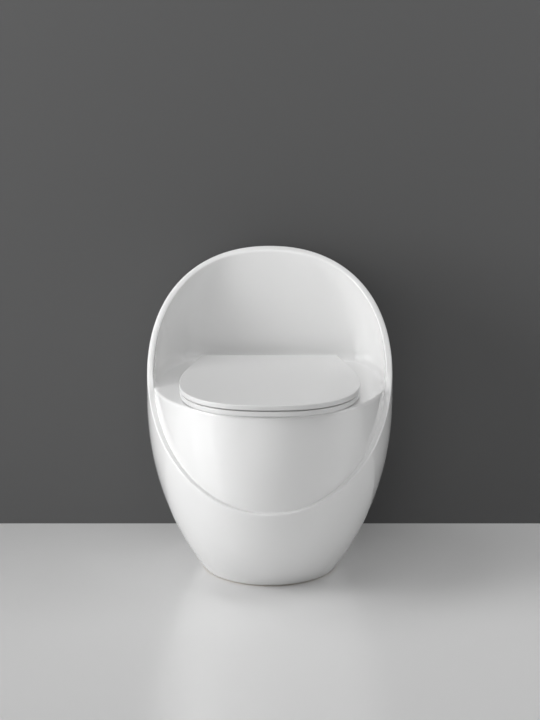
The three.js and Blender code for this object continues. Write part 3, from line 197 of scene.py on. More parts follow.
class BowlShape(bpy.types.PropertyGroup):
    """Sizes of the deck, the basin and the hollows of the casting."""

    deck_top: length("Deck height", "Height of the deck that the seat rests on", 0.410)
    deck_thickness: length("Deck thickness", "Thickness of the deck", 0.014)
    apron_wall: length("Apron wall", "Thickness of the apron below the seat", 0.010)
    apron_overlap: length("Apron overlap", "How far the apron reaches below the rim inside", 0.040)
    hood_fillet: length("Hood fillet", "Radius between the deck and the hood", 0.024)
    front_edge: length("Front edge", "Rounding of the deck's front edge", 0.007)
    corner: length("Hood corners", "Softness of the hood's upright corners at the deck", 0.007)
    corner_growth: length("Corner growth", "How much softer these corners are halfway up", 0.030)
    basin_half_width: length("Basin half width", "Half the width of the basin's mouth", 0.118)
    basin_front: length("Basin front", "From the origin to the front of the basin", 0.255)
    basin_rear: length("Basin rear", "From the origin to the rear of the basin", 0.035)
    basin_floor: length("Basin floor", "Height of the sump's floor", 0.118)
    basin_wall: length("Basin wall", "Thickness of the basin", 0.010)
    basin_lip: length("Basin lip", "Rounding of the basin's mouth", 0.009)
    basin_plan: share("Basin plan power", "How square the basin's level sections are", 2.3)
    tank_wall: length("Tank wall", "Thickness of the tank's own wall inside the body", 0.0073)
    panel: length("Tank front", "Thickness of the flat wall between the hood and the tank", 0.010)
    tank_floor: length("Tank floor", "Thickness of the tank's floor", 0.012)
    hatch_below_rim: length("Hatch edge", "From the rim's top down to the hatch's lower edge", 0.090)
    hatch_half_width: length("Hatch half width", "Half the width of the hatch", 0.115)
    hatch_front: length("Hatch front", "From the origin back to the hatch's front edge", 0.212)
    hatch_ledge: length("Hatch ledge", "Width of the ledge that carries the cover", 0.008)
    hatch_corner: length("Hatch corner", "Radius of the hatch's corners", 0.010)
    cover_gap: length("Cover gap", "Gap round the cover", 0.0009)


class SeatShape(bpy.types.PropertyGroup):
    """Sizes of the seat and the lid, seen from above."""

    half_width: length("Half width", "Half the lid's width", 0.1845)
    front: length("Front", "From the origin to the lid's front", 0.305)
    back_edge: length("Back edge", "From the origin to the lid's straight back edge", 0.135)
    back_half_width: length("Back half width", "Half the length of the back edge", 0.1456)
    widest_forward: length("Widest place", "From the origin forward to the widest place", 0.098)
    shoulder_forward: length("Shoulder", "From the origin forward to the end of the round sides", 0.048)
    straight_end: length("Straight end", "From the origin back to where the sides run straight", 0.002)
    straight_half_width: length("Straight half width", "Half the width where the sides run straight", 0.1742)
    back_corner: length("Back corner", "Reach of the back corners", 0.008)
    front_power: share("Front power", "How square the front curve is", 2.45)
    edge_round: length("Edge rounding", "Rounding of the lid's and the seat's edges", 0.0021)
    hole_half_width: length("Hole half width", "Half the width of the seat's hole", 0.106)
    hole_front: length("Hole front", "From the origin forward to the hole's front", 0.232)
    hole_rear: length("Hole rear", "From the origin back to the hole's rear", 0.022)
    hole_power: share("Hole power", "How square the hole is", 2.25)
    back_relief: length("Hinge relief", "From the origin back to the seat's rear edge", 0.104)


class FittingShape(bpy.types.PropertyGroup):
    """Sizes of the flush button, the hinges, the caps and the pipes."""

    bezel_radius: length("Bezel radius", "Radius of the flush button's bezel", 0.025)
    bezel_rise: length("Bezel rise", "How far the bezel stands out of the cover", 0.002)
    bezel_sink: length("Bezel sink", "How far the bezel is let into the cover", 0.0017)
    housing_radius: length("Housing radius", "Radius of the button's housing", 0.018)
    housing_depth: length("Housing depth", "Depth of the button's housing", 0.021)
    housing_wall: length("Housing wall", "Wall of the button's housing", 0.002)
    button_split: length("Button split", "From the button's middle to its split", 0.003)
    nut_radius: length("Nut radius", "Radius of the nut under the cover", 0.0215)
    hinge_disc: length("Hinge foot", "Radius of the hinge's foot", 0.018)
    hinge_barrel: length("Hinge barrel", "Radius of the hinge's barrel", 0.0065)
    hinge_width: length("Hinge width", "Width of the hinge's barrel", 0.022)
    screw_cap: length("Screw cap", "Radius of the caps on the side screws", 0.009)
    trap_radius: length("Trapway radius", "Radius of the trapway outside", 0.034)
    trap_bore: length("Trapway bore", "Radius of the trapway inside", 0.026)
    cable_radius: length("Cable radius", "Radius of the flush cable", 0.002)
    refill_radius: length("Refill tube radius", "Radius of the refill tube", 0.0035)


class Finishes(bpy.types.PropertyGroup):
    """Colours of the finishes."""

    glaze: colour("Glaze", "Colour of the white glaze", (0.84, 0.84, 0.838))
    glaze_deep: colour("Deep glaze", "Colour where the glaze lies thick", (0.815, 0.816, 0.814))
    bisque: colour("Bisque", "Colour of the bare fired clay of the foot", (0.62, 0.56, 0.47))
    seat: colour("Seat", "Colour of the seat and the lid", (0.74, 0.74, 0.739))
    white_plastic: colour("White plastic", "Colour of the valve bodies", (0.74, 0.73, 0.69))
    blue_plastic: colour("Blue plastic", "Colour of the valve's moving parts", (0.05, 0.17, 0.42))
    black_rubber: colour("Black rubber", "Colour of the dark seals", (0.022, 0.022, 0.024))
    pale_rubber: colour("Pale rubber", "Colour of the bumpers and the floor seal", (0.60, 0.58, 0.53))
    chrome: colour("Chrome", "Colour of the plated parts", (0.72, 0.73, 0.75))
    steel: colour("Steel", "Colour of the zinc-plated fixings", (0.48, 0.49, 0.50))
    floor: colour("Floor", "Colour of the studio floor", (0.93, 0.93, 0.93))
    wall: colour("Wall", "Colour of the studio wall", (0.085, 0.085, 0.086))


def body_sizes():
    return bpy.context.scene.toilet_body


def bowl_sizes():
    return bpy.context.scene.toilet_bowl


def seat_sizes():
    return bpy.context.scene.toilet_seat


def fitting_sizes():
    return bpy.context.scene.toilet_fittings


def finishes():
    return bpy.context.scene.toilet_finishes


def signed_power(value, power):
    return math.copysign(abs(value) ** power, value)


def smooth_step(value):
    value = max(0.0, min(1.0, value))
    return value * value * (3 - 2 * value)


def mix(low, high, amount):
    return low + (high - low) * amount


def soft_limit(value, limit, softness):
    """The lower of two numbers, with the change from one to the other rounded off."""
    near = max(softness - abs(value - limit), 0.0) / softness
    return min(value, limit) - near * near * softness / 4


def by_place(values, front, soft):
    """A value of the rim's profile, from its values round the hood and at the ridge's sides and middle."""
    hood, sides, middle = values
    return mix(hood, mix(sides, middle, soft), front)


def bent(start, corner, end, rows):
    """Points on a curve that leaves start towards corner and reaches end from it."""
    shares = [i / rows for i in range(1, rows + 1)]
    return [start * (1 - t) ** 2 + corner * (2 * t * (1 - t)) + end * t ** 2 for t in shares]


def straight(start, end, rows):
    return [start.lerp(end, i / rows) for i in range(1, rows + 1)]


class Wall:
    """How far a surface lies inside the egg's outside."""

    def __init__(self, side=0.0, front=0.0, back=0.0, top=0.0):
        self.side, self.front, self.back, self.top = side, front, back, top

    def thicker(self, extra):
        return Wall(self.side + extra, self.front + extra, self.back + extra, self.top + extra)


class Egg:
    """The body's shape, worked out from its sizes."""

    def __init__(self, sizes, bowl):
        self.s = sizes
        self.bowl = bowl
        self.skin = Wall()
        self.wall = Wall(sizes.side_wall, sizes.front_wall, sizes.back_wall, sizes.back_wall)
        self.rim_front_y = self.section(sizes.rim_front, self.skin)[2]
        self.rim_top_y = self.section(sizes.rim_top, self.skin)[3]
        self.slope = (sizes.rim_top - sizes.rim_front) / (self.rim_top_y - self.rim_front_y)

    def section(self, z, wall):
        """Half width, middle, front and back of the level section at a height."""
        s = self.s
        side, front, back = s.half_width - wall.side, s.front - wall.front, s.back - wall.back
        if z < s.waist_height:
            drop = (s.waist_height - z) / s.waist_height
            taper = drop ** s.taper
            return (side - (s.half_width - s.base_half_width) * taper,
                    (s.base_setback + s.waist_forward) * taper - s.waist_forward,
                    (s.front - s.base_front) * drop ** s.front_taper - front,
                    back - (s.back - s.base_back) * taper)
        rise = min(1.0, (z - s.waist_height) / (s.apex_height - wall.top - s.waist_height))
        narrow = (1 - rise ** s.dome) ** (1 / s.dome)
        return (side * narrow,
                -s.waist_forward - (s.apex_forward - s.waist_forward) * (1 - narrow),
                -s.apex_forward - (front - s.apex_forward) * narrow,
                (back + s.apex_forward) * narrow - s.apex_forward)

    def point(self, z, angle, wall):
        half_width, middle, front, back = self.section(z, wall)
        reach = middle - front if math.sin(angle) < 0 else back - middle
        power = 2 / (self.s.plan if math.sin(angle) < 0 else self.s.rear_plan)
        return Vector((half_width * signed_power(math.cos(angle), power),
                       middle + reach * signed_power(math.sin(angle), power), z))

    def rim_height(self, y):
        return self.s.rim_front + self.slope * (y - self.rim_front_y)

    def crossing(self, angle, wall):
        """Height at which a wall meets the sloping plane of the rim."""
        low, high = 0.0, self.s.apex_height - wall.top
        for _ in range(40):
            z = (low + high) / 2
            if self.rim_height(self.point(z, angle, wall).y) > z:
                low = z
            else:
                high = z
        return low

    def inside(self, z, angle, rim_z):
        """The hood's inside or the apron's outside. The wall behind the seat is flat below, curved at the rim."""
        point = self.point(z, angle, self.wall)
        if point.y > 0:
            bowl = self.bowl
            up = max(0.0, min(1.0, (z - bowl.deck_top) / max(rim_z - bowl.deck_top, 0.001)))
            at_rim = soft_limit(self.point(rim_z, angle, self.wall).y, PANEL_FRONT, 0.020)
            softness = bowl.corner * (1 - up) + bowl.corner_growth * 4 * up * (1 - up) + 0.0005
            point.y = soft_limit(point.y, mix(PANEL_FRONT, at_rim, up), softness)
        return point


# Height, width, front and rear of the basin's level sections, as shares of its depth and its mouth
BASIN_SHARES = ((1, 1, 1, 1), (0.93, 1.01, 0.99, 1.02), (0.72, 0.93, 0.93, 1.05), (0.46, 0.7, 0.69, 1.1),
                (0.25, 0.43, 0.37, 1.16), (0.1, 0.34, 0.14, 1.18), (0, 0.26, 0.09, 1.1))


def curve_point(points, row):
    """A point on the smooth curve through some points, by its place among them."""
    last = len(points) - 1
    i = min(int(row), last - 1)
    t = row - i
    before, start, end, after = [Vector(points[max(0, min(last, k))]) for k in (i - 1, i, i + 1, i + 2)]
    return (start * (2 * t ** 3 - 3 * t ** 2 + 1) + (end - before) / 2 * (t ** 3 - 2 * t ** 2 + t)
            + end * (3 * t ** 2 - 2 * t ** 3) + (after - start) / 2 * (t ** 3 - t ** 2))


def basin_point(row, angle, bowl, grow=0.0):
    height, width, front, rear = curve_point(BASIN_SHARES, row)
    z = bowl.basin_floor + (bowl.deck_top - bowl.basin_floor) * height
    front = bowl.basin_front * front + grow
    rear = bowl.basin_rear * rear + grow
    power = 2 / bowl.basin_plan
    return Vector(((bowl.basin_half_width * width + grow) * signed_power(math.cos(angle), power),
                   (rear - front) / 2 + (rear + front) / 2 * signed_power(math.sin(angle), power), z))


def angles(count):
    return [2 * math.pi * i / count for i in range(count)]


def wrapped(columns):
    """A grid whose columns are given and go round. Its first and last rows are poles."""
    count, lines = len(columns), len(columns[0]) - 1
    bm = bmesh.new()
    bmesh.ops.create_grid(bm, x_segments=count, y_segments=lines, size=0.5)
    for vert in bm.verts:
        column = round((vert.co.x + 0.5) * count) % count
        vert.co = columns[column][round((vert.co.y + 0.5) * lines)]
    bmesh.ops.remove_doubles(bm, verts=bm.verts, dist=1e-7)
    bmesh.ops.dissolve_degenerate(bm, edges=bm.edges, dist=1e-8)
    bmesh.ops.recalc_face_normals(bm, faces=bm.faces)
    return bm


def piece(name, bm, smooth=True, sharp_angle=None):
    """A finished object from a bmesh, at the origin."""
    mesh = bpy.data.meshes.new(name)
    bm.to_mesh(mesh)
    bm.free()
    made = bpy.data.objects.new(name, mesh)
    bpy.context.scene.collection.objects.link(made)
    if smooth:
        mesh.shade_smooth()
    if sharp_angle is not None:
        mesh.set_sharp_from_angle(angle=math.radians(sharp_angle))
    return made


def combine(target, tools, operation):
    """Joins tools to a piece, or cuts them from it, and removes them."""
    for tool in tools:
        change = target.modifiers.new("combine", "BOOLEAN")
        change.operation = operation
        change.object = tool
        change.solver = "MANIFOLD"
        with bpy.context.temp_override(object=target, active_object=target, selected_objects=[target]):
            bpy.ops.object.modifier_apply(modifier=change.name)
    for tool in tools:
        mesh = tool.data
        bpy.data.objects.remove(tool)
        bpy.data.meshes.remove(mesh)


def soften(made, sharp_angle):
    """Smooth shading, apart from edges where faces meet at more than an angle."""
    made.data.shade_smooth()
    made.data.set_sharp_from_angle(angle=math.radians(sharp_angle))


def block(name, low, high):
    bm = bmesh.new()
    bmesh.ops.create_cube(bm, size=1.0)
    size = Vector(high) - Vector(low)
    bmesh.ops.scale(bm, vec=size, verts=bm.verts)
    bmesh.ops.translate(bm, vec=(Vector(low) + Vector(high)) / 2, verts=bm.verts)
    return piece(name, bm, smooth=False)


def bar(name, radius, start, end, sides=48):
    """A round bar from one point to another."""
    start, end = Vector(start), Vector(end)
    bm = bmesh.new()
    bmesh.ops.create_cone(bm, cap_ends=True, segments=sides, radius1=radius, radius2=radius,
                          depth=(end - start).length)
    turn = (end - start).to_track_quat("Z", "Y").to_matrix().to_4x4()
    bmesh.ops.transform(bm, matrix=Matrix.Translation((start + end) / 2) @ turn, verts=bm.verts)
    return piece(name, bm, smooth=False)


def upright(name, radius, place, low, high, sides=48):
    """A round bar that stands at a place, from one height to another."""
    return bar(name, radius, (place.x, place.y, low), (place.x, place.y, high), sides)


def crossbar(name, radius, left, right, y, z, sides=48):
    """A round bar that lies across the toilet."""
    return bar(name, radius, (left, y, z), (right, y, z), sides)


def round_off(bm, corners, offset, segments, affect="EDGES"):
    bmesh.ops.bevel(bm, geom=corners, offset=offset, offset_type="OFFSET", segments=segments, profile=0.5,
                    affect=affect, material=-1, clamp_overlap=affect == "EDGES")


def turned(name, profile, matrix=Matrix.Identity(4), steps=64, rounding=0.0, sharp_angle=35):
    """A profile of radius and height, turned about Z and put in place. It is closed unless it ends on Z."""
    bm = bmesh.new()
    verts = [bm.verts.new((radius, 0, height)) for radius, height in profile]
    edges = [bm.edges.new(pair) for pair in zip(verts, verts[1:] + (verts[:1] if profile[-1][0] else []))]
    bmesh.ops.spin(bm, geom=verts + edges, axis=(0, 0, 1), cent=(0, 0, 0), angle=2 * math.pi,
                   steps=steps, use_merge=True, use_duplicate=False)
    bmesh.ops.remove_doubles(bm, verts=bm.verts, dist=1e-6)
    bmesh.ops.dissolve_degenerate(bm, edges=bm.edges, dist=1e-7)
    bmesh.ops.recalc_face_normals(bm, faces=bm.faces)
    if rounding:
        corners = [edge for edge in bm.edges if edge.calc_face_angle(0.0) > math.radians(50)]
        round_off(bm, corners, rounding, 4)
    bmesh.ops.transform(bm, matrix=matrix, verts=bm.verts)
    return piece(name, bm, sharp_angle=sharp_angle)


def hose(name, points, radius, rows=TUBE_ROWS, sides=TUBE_SIDES):
    """A round bar along the smooth curve through some points."""
    path = [curve_point(points, (len(points) - 1) * i / rows) for i in range(rows + 1)]
    heading = (path[1] - path[0]).normalized()
    side = heading.orthogonal().normalized()
    places = []
    for i, middle in enumerate(path):
        ahead = (path[min(i + 1, rows)] - path[max(i - 1, 0)]).normalized()
        side = heading.rotation_difference(ahead) @ side
        heading = ahead
        place = Matrix((side, heading.cross(side), heading)).transposed().to_4x4()
        place.translation = middle
        places.append(place)
    bm = bmesh.new()
    bmesh.ops.create_circle(bm, cap_ends=False, segments=sides, radius=radius, matrix=places[0])
    ring = bm.edges[:]
    bmesh.ops.edgeloop_fill(bm, edges=ring)
    for before, after in zip(places, places[1:]):
        grown = bmesh.ops.extrude_edge_only(bm, edges=ring)["geom"]
        ring = [item for item in grown if isinstance(item, bmesh.types.BMEdge)]
        verts = [item for item in grown if isinstance(item, bmesh.types.BMVert)]
        bmesh.ops.transform(bm, matrix=after @ before.inverted(), verts=verts)
    bmesh.ops.edgeloop_fill(bm, edges=ring)
    bmesh.ops.recalc_face_normals(bm, faces=bm.faces)
    return piece(name, bm, sharp_angle=PIPE_CREASE)


def flat_face(bm, outline, z):
    return bm.faces.new([bm.verts.new((x, y, z)) for x, y in outline])


def pull_up(bm, face, rise):
    grown = bmesh.ops.extrude_face_region(bm, geom=[face])
    top = [item for item in grown["geom"] if isinstance(item, bmesh.types.BMVert)]
    bmesh.ops.translate(bm, vec=(0, 0, rise), verts=top)


def prism(name, outline, low, high, rounding=None):
    """A flat outline pulled up between two heights. rounding names its round corners and their radius."""
    bm = bmesh.new()
    face = flat_face(bm, outline, low)
    if rounding:
        corners, radius = rounding
        bm.verts.ensure_lookup_table()
        round_off(bm, [bm.verts[i] for i in corners], radius, 6, "VERTICES")
        face = bm.faces[:][0]
    pull_up(bm, face, high - low)
    bmesh.ops.recalc_face_normals(bm, faces=bm.faces)
    return piece(name, bm, smooth=False)


def envelope_profile(egg, angle):
    """From the basin's floor, over the deck and the rim, and down the outside to the floor."""
    s, bowl = egg.s, egg.bowl
    outer_z, inner_z = egg.crossing(angle, egg.skin), egg.crossing(angle, egg.wall)
    front = max(0.0, min(1.0, 0.5 - (inner_z - bowl.deck_top) / RIDGE_BLEND))
    soft = 1 - abs(math.cos(angle))
    outer = egg.point(outer_z, angle, egg.skin)
    crease_z = inner_z - s.crease_depth * front * mix(1, MIDDLE_CREASE, soft)
    crease = egg.inside(crease_z, angle, inner_z)
    wall_end_z = crease_z + by_place((-s.rim_inner_round, *RIDGE_INNER_ROUND), front, soft)
    wall_end = egg.inside(wall_end_z, angle, inner_z)
    crest_start = crease.lerp(outer, by_place(CREST_START, front, soft))
    crest_end = crease.lerp(outer, by_place(CREST_END, front, soft))
    shoulder = egg.point(outer_z - s.rim_round * by_place(SHOULDER, front, soft), angle, egg.skin)
    fillet = max(-bowl.front_edge, min(bowl.hood_fillet, 0.6 * (wall_end_z - bowl.deck_top)))
    fillet_z = bowl.deck_top + fillet
    foot = egg.inside(bowl.deck_top, angle, inner_z)
    mouth = basin_point(0, angle, bowl)
    lip = basin_point(0, angle, bowl, bowl.basin_lip)
    inward = (mouth - foot).normalized()
    deck_edge = foot + inward * mix(bowl.hood_fillet, bowl.front_edge, front)
    last = len(BASIN_SHARES) - 1
    middle = (basin_point(last, 0.0, bowl) + basin_point(last, math.pi, bowl)) / 2
    middle.y = (basin_point(last, math.pi / 2, bowl).y + basin_point(last, -math.pi / 2, bowl).y) / 2
    points = [middle]
    points += [basin_point(mix(last, LIP_ROW, i / BASIN_ROWS), angle, bowl) for i in range(BASIN_ROWS + 1)]
    points += bent(points[-1], mouth, lip, LIP_ROWS)
    points += straight(lip, deck_edge, DECK_ROWS)
    points += bent(deck_edge, foot, egg.inside(fillet_z, angle, inner_z), FILLET_ROWS)
    for i in range(1, HOOD_ROWS + 1):
        points.append(egg.inside(mix(fillet_z, wall_end_z, i / HOOD_ROWS), angle, inner_z))
    points += bent(wall_end, crease, crest_start, RIM_ROWS)
    points += straight(crest_start, crest_end, CREST_ROWS)
    points += bent(crest_end, outer, shoulder, RIM_ROWS)
    for i in range(1, WALL_ROWS + 1):
        points.append(egg.point(mix(shoulder.z, FOOT_ROUND, i / WALL_ROWS), angle, egg.skin))
    drawn_in = egg.point(0, angle, egg.skin.thicker(FOOT_ROUND))
    points += bent(points[-1], egg.point(0, angle, egg.skin), drawn_in, BASE_ROWS)
    points.append(Vector((0, s.base_setback, 0)))
    return points


def egg_solid(name, egg, wall, low, high, rows=40, around=INSIDE_AROUND, apron=0.0):
    """The egg drawn in by a wall, between two heights. apron draws the front in further above the rim."""
    columns = []
    for angle in angles(around):
        column = [Vector((0, 0, low))]
        for i in range(rows + 1):
            z = mix(low, high, i / rows)
            point = egg.point(max(z, 0.0), angle, wall)
            if apron:
                above = smooth_step((z - egg.rim_height(point.y) + egg.bowl.apron_overlap) / 0.012 + 1)
                point = egg.point(max(z, 0.0), angle, wall.thicker(apron * above))
            point.z = z
            column.append(point)
        column.append(Vector((0, 0, high)))
        columns.append(column)
    return piece(name, wrapped(columns), smooth=False)


def basin_solid(name, bowl, grow):
    """The basin's outside, closed on top."""
    last = len(BASIN_SHARES) - 1
    columns = []
    for angle in angles(INSIDE_AROUND):
        column = [Vector((0, (bowl.basin_rear - bowl.basin_front) / 2, bowl.deck_top - 0.002))]
        for i in range(BASIN_ROWS + 1):
            point = basin_point(last * i / BASIN_ROWS, angle, bowl, grow)
            point.z -= grow * (i / BASIN_ROWS) + 0.002 * (1 - i / BASIN_ROWS)
            column.append(point)
        column.append(Vector((0, basin_point(last, math.pi / 2, bowl).y / 2, bowl.basin_floor - grow)))
        columns.append(column)
    return piece(name, wrapped(columns), smooth=False)


def above_rim(name, egg, shift):
    """A large block above the rim's plane, moved up or down."""
    size = 2.0
    bm = bmesh.new()
    bmesh.ops.create_cube(bm, size=size)
    place = (Matrix.Translation((0, egg.rim_front_y, egg.s.rim_front + shift))
             @ Matrix.Rotation(math.atan(egg.slope), 4, "X") @ Matrix.Translation((0, 0, size / 2)))
    bmesh.ops.transform(bm, matrix=place, verts=bm.verts)
    return piece(name, bm, smooth=False)


def hatch_outline(egg, margin):
    """The hatch seen from above, drawn in by a margin, and which of its points are corners."""
    bowl = egg.bowl
    z = egg.s.rim_top - bowl.hatch_below_rim
    half_width, middle, _, back = egg.section(z, Wall(side=margin, back=margin))
    half = bowl.hatch_half_width - margin
    steps = 48
    arc = []
    for i in range(steps + 1):
        x = mix(half, -half, i / steps)
        reach = (1 - (abs(x) / half_width) ** egg.s.rear_plan) ** (1 / egg.s.rear_plan)
        arc.append((x, middle + (back - middle) * reach))
    front = bowl.hatch_front + margin
    outline = [(-half, front), (half, front)] + arc
    return outline, (0, 1, 2, len(outline) - 1)


def hatch_prism(name, egg, margin, low):
    outline, corners = hatch_outline(egg, margin)
    radius = max(0.002, egg.bowl.hatch_corner - margin)
    return prism(name, outline, low, egg.s.apex_height + 0.01, (corners, radius))


def cast_hollows(egg):
    """The tools that hollow the casting out: the skirt, the tank, the hatch and the passages."""
    s, bowl = egg.s, egg.bowl
    under_deck = bowl.deck_top - bowl.deck_thickness
    wide = s.half_width + 0.05
    skirt = egg_solid("skirt", egg, egg.wall, -0.01, under_deck, apron=bowl.apron_wall)
    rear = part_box("skirt_rear")[1].y + 0.01
    opening = block("opening", (-OPENING_HALF_WIDTH, s.base_back / 2, OPENING_FOOT),
                    (OPENING_HALF_WIDTH, rear, OPENING_HEAD))
    combine(opening, [egg_solid("skirt_copy", egg, egg.wall, -0.01, under_deck)], "DIFFERENCE")
    left, right = FLUSH_MIDDLE.x - DUCT_HALF_WIDTH, FLUSH_MIDDLE.x + DUCT_HALF_WIDTH
    kept = [
        block("tank_block", (-wide, PANEL_FRONT, TANK_FLOOR_BOTTOM), (wide, wide, s.apex_height)),
        basin_solid("basin_outside", bowl, bowl.basin_wall),
        bar("collar", COLLAR_RADIUS, (0, 0.0055, INLET_HEIGHT), (0, 0.058, INLET_HEIGHT)),
        block("duct", (left, DUCT_FRONT, DUCT_FOOT), (right, DUCT_REAR, TANK_FLOOR_BOTTOM + 0.004)),
    ]
    combine(skirt, kept, "DIFFERENCE")
    floor_top = TANK_FLOOR_BOTTOM + bowl.tank_floor
    inner = egg.wall.thicker(bowl.tank_wall)
    tank = egg_solid("tank", egg, inner, floor_top, s.apex_height - 0.03)
    combine(tank, [
        block("tank_front", (-wide, -wide - 0.1, 0), (wide, PANEL_FRONT + bowl.panel, s.apex_height)),
        above_rim("tank_roof", egg, -TANK_ROOF),
    ], "DIFFERENCE")
    low = s.rim_top - bowl.hatch_below_rim - 0.051
    seat = hatch_prism("hatch_seat", egg, 0.0, low)
    under_cover = egg_solid("under_cover", egg, egg.wall, floor_top, s.apex_height - s.back_wall - HAIR)
    combine(seat, [under_cover], "DIFFERENCE")
    mouth = hatch_prism("hatch_mouth", egg, bowl.hatch_ledge, low)
    passages = [
        block("duct_inside", (left + DUCT_WALL, HOLLOW_FRONT, HOLLOW_FOOT),
              (right - DUCT_WALL, HOLLOW_REAR, HOLLOW_HEAD)),
        bar("trap_inlet", INLET_RADIUS, (0, 0.010, INLET_HEIGHT), (0, 0.060, INLET_HEIGHT)),
        upright("spigot_hole", SPIGOT_HOLE, FLUSH_MIDDLE, 0.312, HOLE_HEAD),
        upright("shank_hole", SHANK_HOLE, FILL_MIDDLE, 0.320, HOLE_HEAD),
        crossbar("screw_hole", SCREW_HOLE, -wide, wide, SCREW_Y, SCREW_HEIGHT, 24),
    ]
    plug_low, plug_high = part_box("expansion_plug_right")
    plug = (plug_low + plug_high) / 2
    for side in (-1, 1):
        bolt = Vector((FLUSH_MIDDLE.x + side * BOLT_SPREAD, FLUSH_MIDDLE.y))
        passages.append(upright("bolt_hole", BOLT_HOLE, bolt, 0.320, HOLE_HEAD, 24))
        passages.append(upright("plug_hole", PLUG_HOLE, Vector((side * plug.x, plug.y)), 0.390, 0.420, 32))
    return [skirt, opening, tank, seat, mouth] + passages


class Sock:
    """A shader socket, so that shader maths reads as plain expressions."""

    def __init__(self, tree, link):
        self.tree, self.link = tree, link

    def _math(self, operation, *values):
        return self.tree.node("ShaderNodeMath", {"operation": operation}, dict(enumerate(values)))

    def __add__(self, other):
        return self._math("ADD", self, other)

    def __sub__(self, other):
        return self._math("SUBTRACT", self, other)

    def __rsub__(self, other):
        return self._math("SUBTRACT", other, self)

    def __mul__(self, other):
        return self._math("MULTIPLY", self, other)

    def __gt__(self, other):
        return self._math("GREATER_THAN", self, other)

    def __lt__(self, other):
        return self._math("LESS_THAN", self, other)

    __radd__ = __add__
    __rmul__ = __mul__


class Finish:
    """A material whose nodes are made in code."""

    def __init__(self, name):
        self.material = bpy.data.materials.new(name)
        self.material.use_nodes = True
        self.nodes = self.material.node_tree.nodes
        self.links = self.material.node_tree.links
        self.nodes.clear()
        self.output = self.nodes.new("ShaderNodeOutputMaterial")

    def node(self, kind, settings=None, values=None, out=0):
        """Makes a node, sets its settings first and then its sockets, and gives one of its outputs."""
        made = self.nodes.new(kind)
        for key, value in (settings or {}).items():
            if key == "stops":
                for i, (place, tone) in enumerate(value):
                    stop = made.color_ramp.elements[i] if i < 2 else made.color_ramp.elements.new(place)
                    stop.position, stop.color = place, tone
            else:
                setattr(made, key, value)
        for key, value in (values or {}).items():
            if isinstance(value, Sock):
                self.links.new(value.link, made.inputs[key])
            else:
                made.inputs[key].default_value = value
        return Sock(self, made.outputs[out])

    def place(self, stretch=(1, 1, 1)):
        """Object coordinates, stretched."""
        where = self.node("ShaderNodeTexCoord", out="Object")
        return self.node("ShaderNodeMapping", {}, {"Vector": where, "Scale": stretch})

    def noise(self, scale, detail=2.0, stretch=(1, 1, 1), roughness=0.5):
        values = {"Vector": self.place(stretch), "Scale": scale, "Detail": detail, "Roughness": roughness}
        return self.node("ShaderNodeTexNoise", {}, values, out="Fac")

    def ramp(self, value, low, high):
        """A number that climbs from 0 to 1 between two values."""
        values = {"Value": value, 1: low, 2: high, 3: 0.0, 4: 1.0}
        return self.node("ShaderNodeMapRange", {"clamp": True}, values)

    def along(self, axis):
        """The place along one axis, in metres."""
        return self.node("ShaderNodeSeparateXYZ", {}, {0: self.place()}, out=axis)

    def blend(self, amount, first, second):
        """A colour between two."""
        values = {0: amount, 6: self.tone(first), 7: self.tone(second)}
        return self.node("ShaderNodeMix", {"data_type": "RGBA"}, values, out=2)

    @staticmethod
    def tone(value):
        return value if isinstance(value, Sock) else (*value, 1.0)

    def bump(self, height, distance, strength=1.0):
        return self.node("ShaderNodeBump", {}, {"Height": height, "Distance": distance, "Strength": strength})

    def finish(self, **values):
        """The surface shader, with its sockets by name."""
        named = {key.replace("_", " "): value for key, value in values.items()}
        shader = self.node("ShaderNodeBsdfPrincipled", {}, named)
        self.links.new(shader.link, self.output.inputs["Surface"])
        return self.material


def shaded(tone, factor):
    return tuple(v * factor for v in tone)


def glazed_china():
    """White vitreous glaze: it pools a little, waves faintly, and stops short of the foot."""
    f, c = Finish("glazed china"), finishes()
    bare = f.along("Z") < 0.0022
    pool = f.noise(3.2, 1.0)
    tone = f.blend(pool, c.glaze, c.glaze_deep)
    tone = f.blend(bare, tone, c.bisque)
    wave = f.noise(26.0, 1.5)
    peel = f.noise(210.0, 1.0)
    rough = 0.055 + pool * 0.03 + bare * 0.55
    normal = f.bump(wave * 0.7 + peel * 0.06 + f.noise(900.0, 1.0) * bare * 0.3, 0.00035, 0.12)
    return f.finish(Base_Color=tone, Roughness=rough, Normal=normal, Specular_IOR_Level=0.5,
                    Coat_Weight=0.35, Coat_Roughness=0.03)


def seat_plastic():
    """Pressed white seat plastic, a little softer in its shine than the glaze."""
    f, c = Finish("seat plastic"), finishes()
    cloud = f.noise(5.0, 1.0)
    tone = f.blend(cloud, c.seat, shaded(c.seat, 0.985))
    rough = 0.24 + cloud * 0.04
    normal = f.bump(f.noise(420.0, 2.0), 0.00012, 0.12)
    return f.finish(Base_Color=tone, Roughness=rough, Normal=normal)


def moulded_plastic(name, base, roughness):
    """Matt moulded plastic with a fine grain and slightly worn high places."""
    f = Finish(name)
    cloud = f.ramp(f.noise(14.0, 4.0), 0.3, 0.75)
    tone = f.blend(cloud, base, shaded(base, 0.88))
    grain = f.noise(1500.0, 2.0)
    rough = roughness + f.noise(60.0, 3.0) * 0.14
    return f.finish(Base_Color=tone, Roughness=rough, Normal=f.bump(grain, 0.0001, 0.3))


def rubber(name, base):
    """Matt rubber with a bloom and a fine moulded skin."""
    f = Finish(name)
    bloom = f.ramp(f.noise(40.0, 4.0), 0.45, 0.8)
    tone = f.blend(bloom * 0.5, base, tuple(min(1.0, v * 1.35 + 0.01) for v in base))
    rough = 0.62 + f.noise(90.0, 2.0) * 0.25
    return f.finish(Base_Color=tone, Roughness=rough, Normal=f.bump(f.noise(1900.0, 2.0), 0.00012, 0.35))


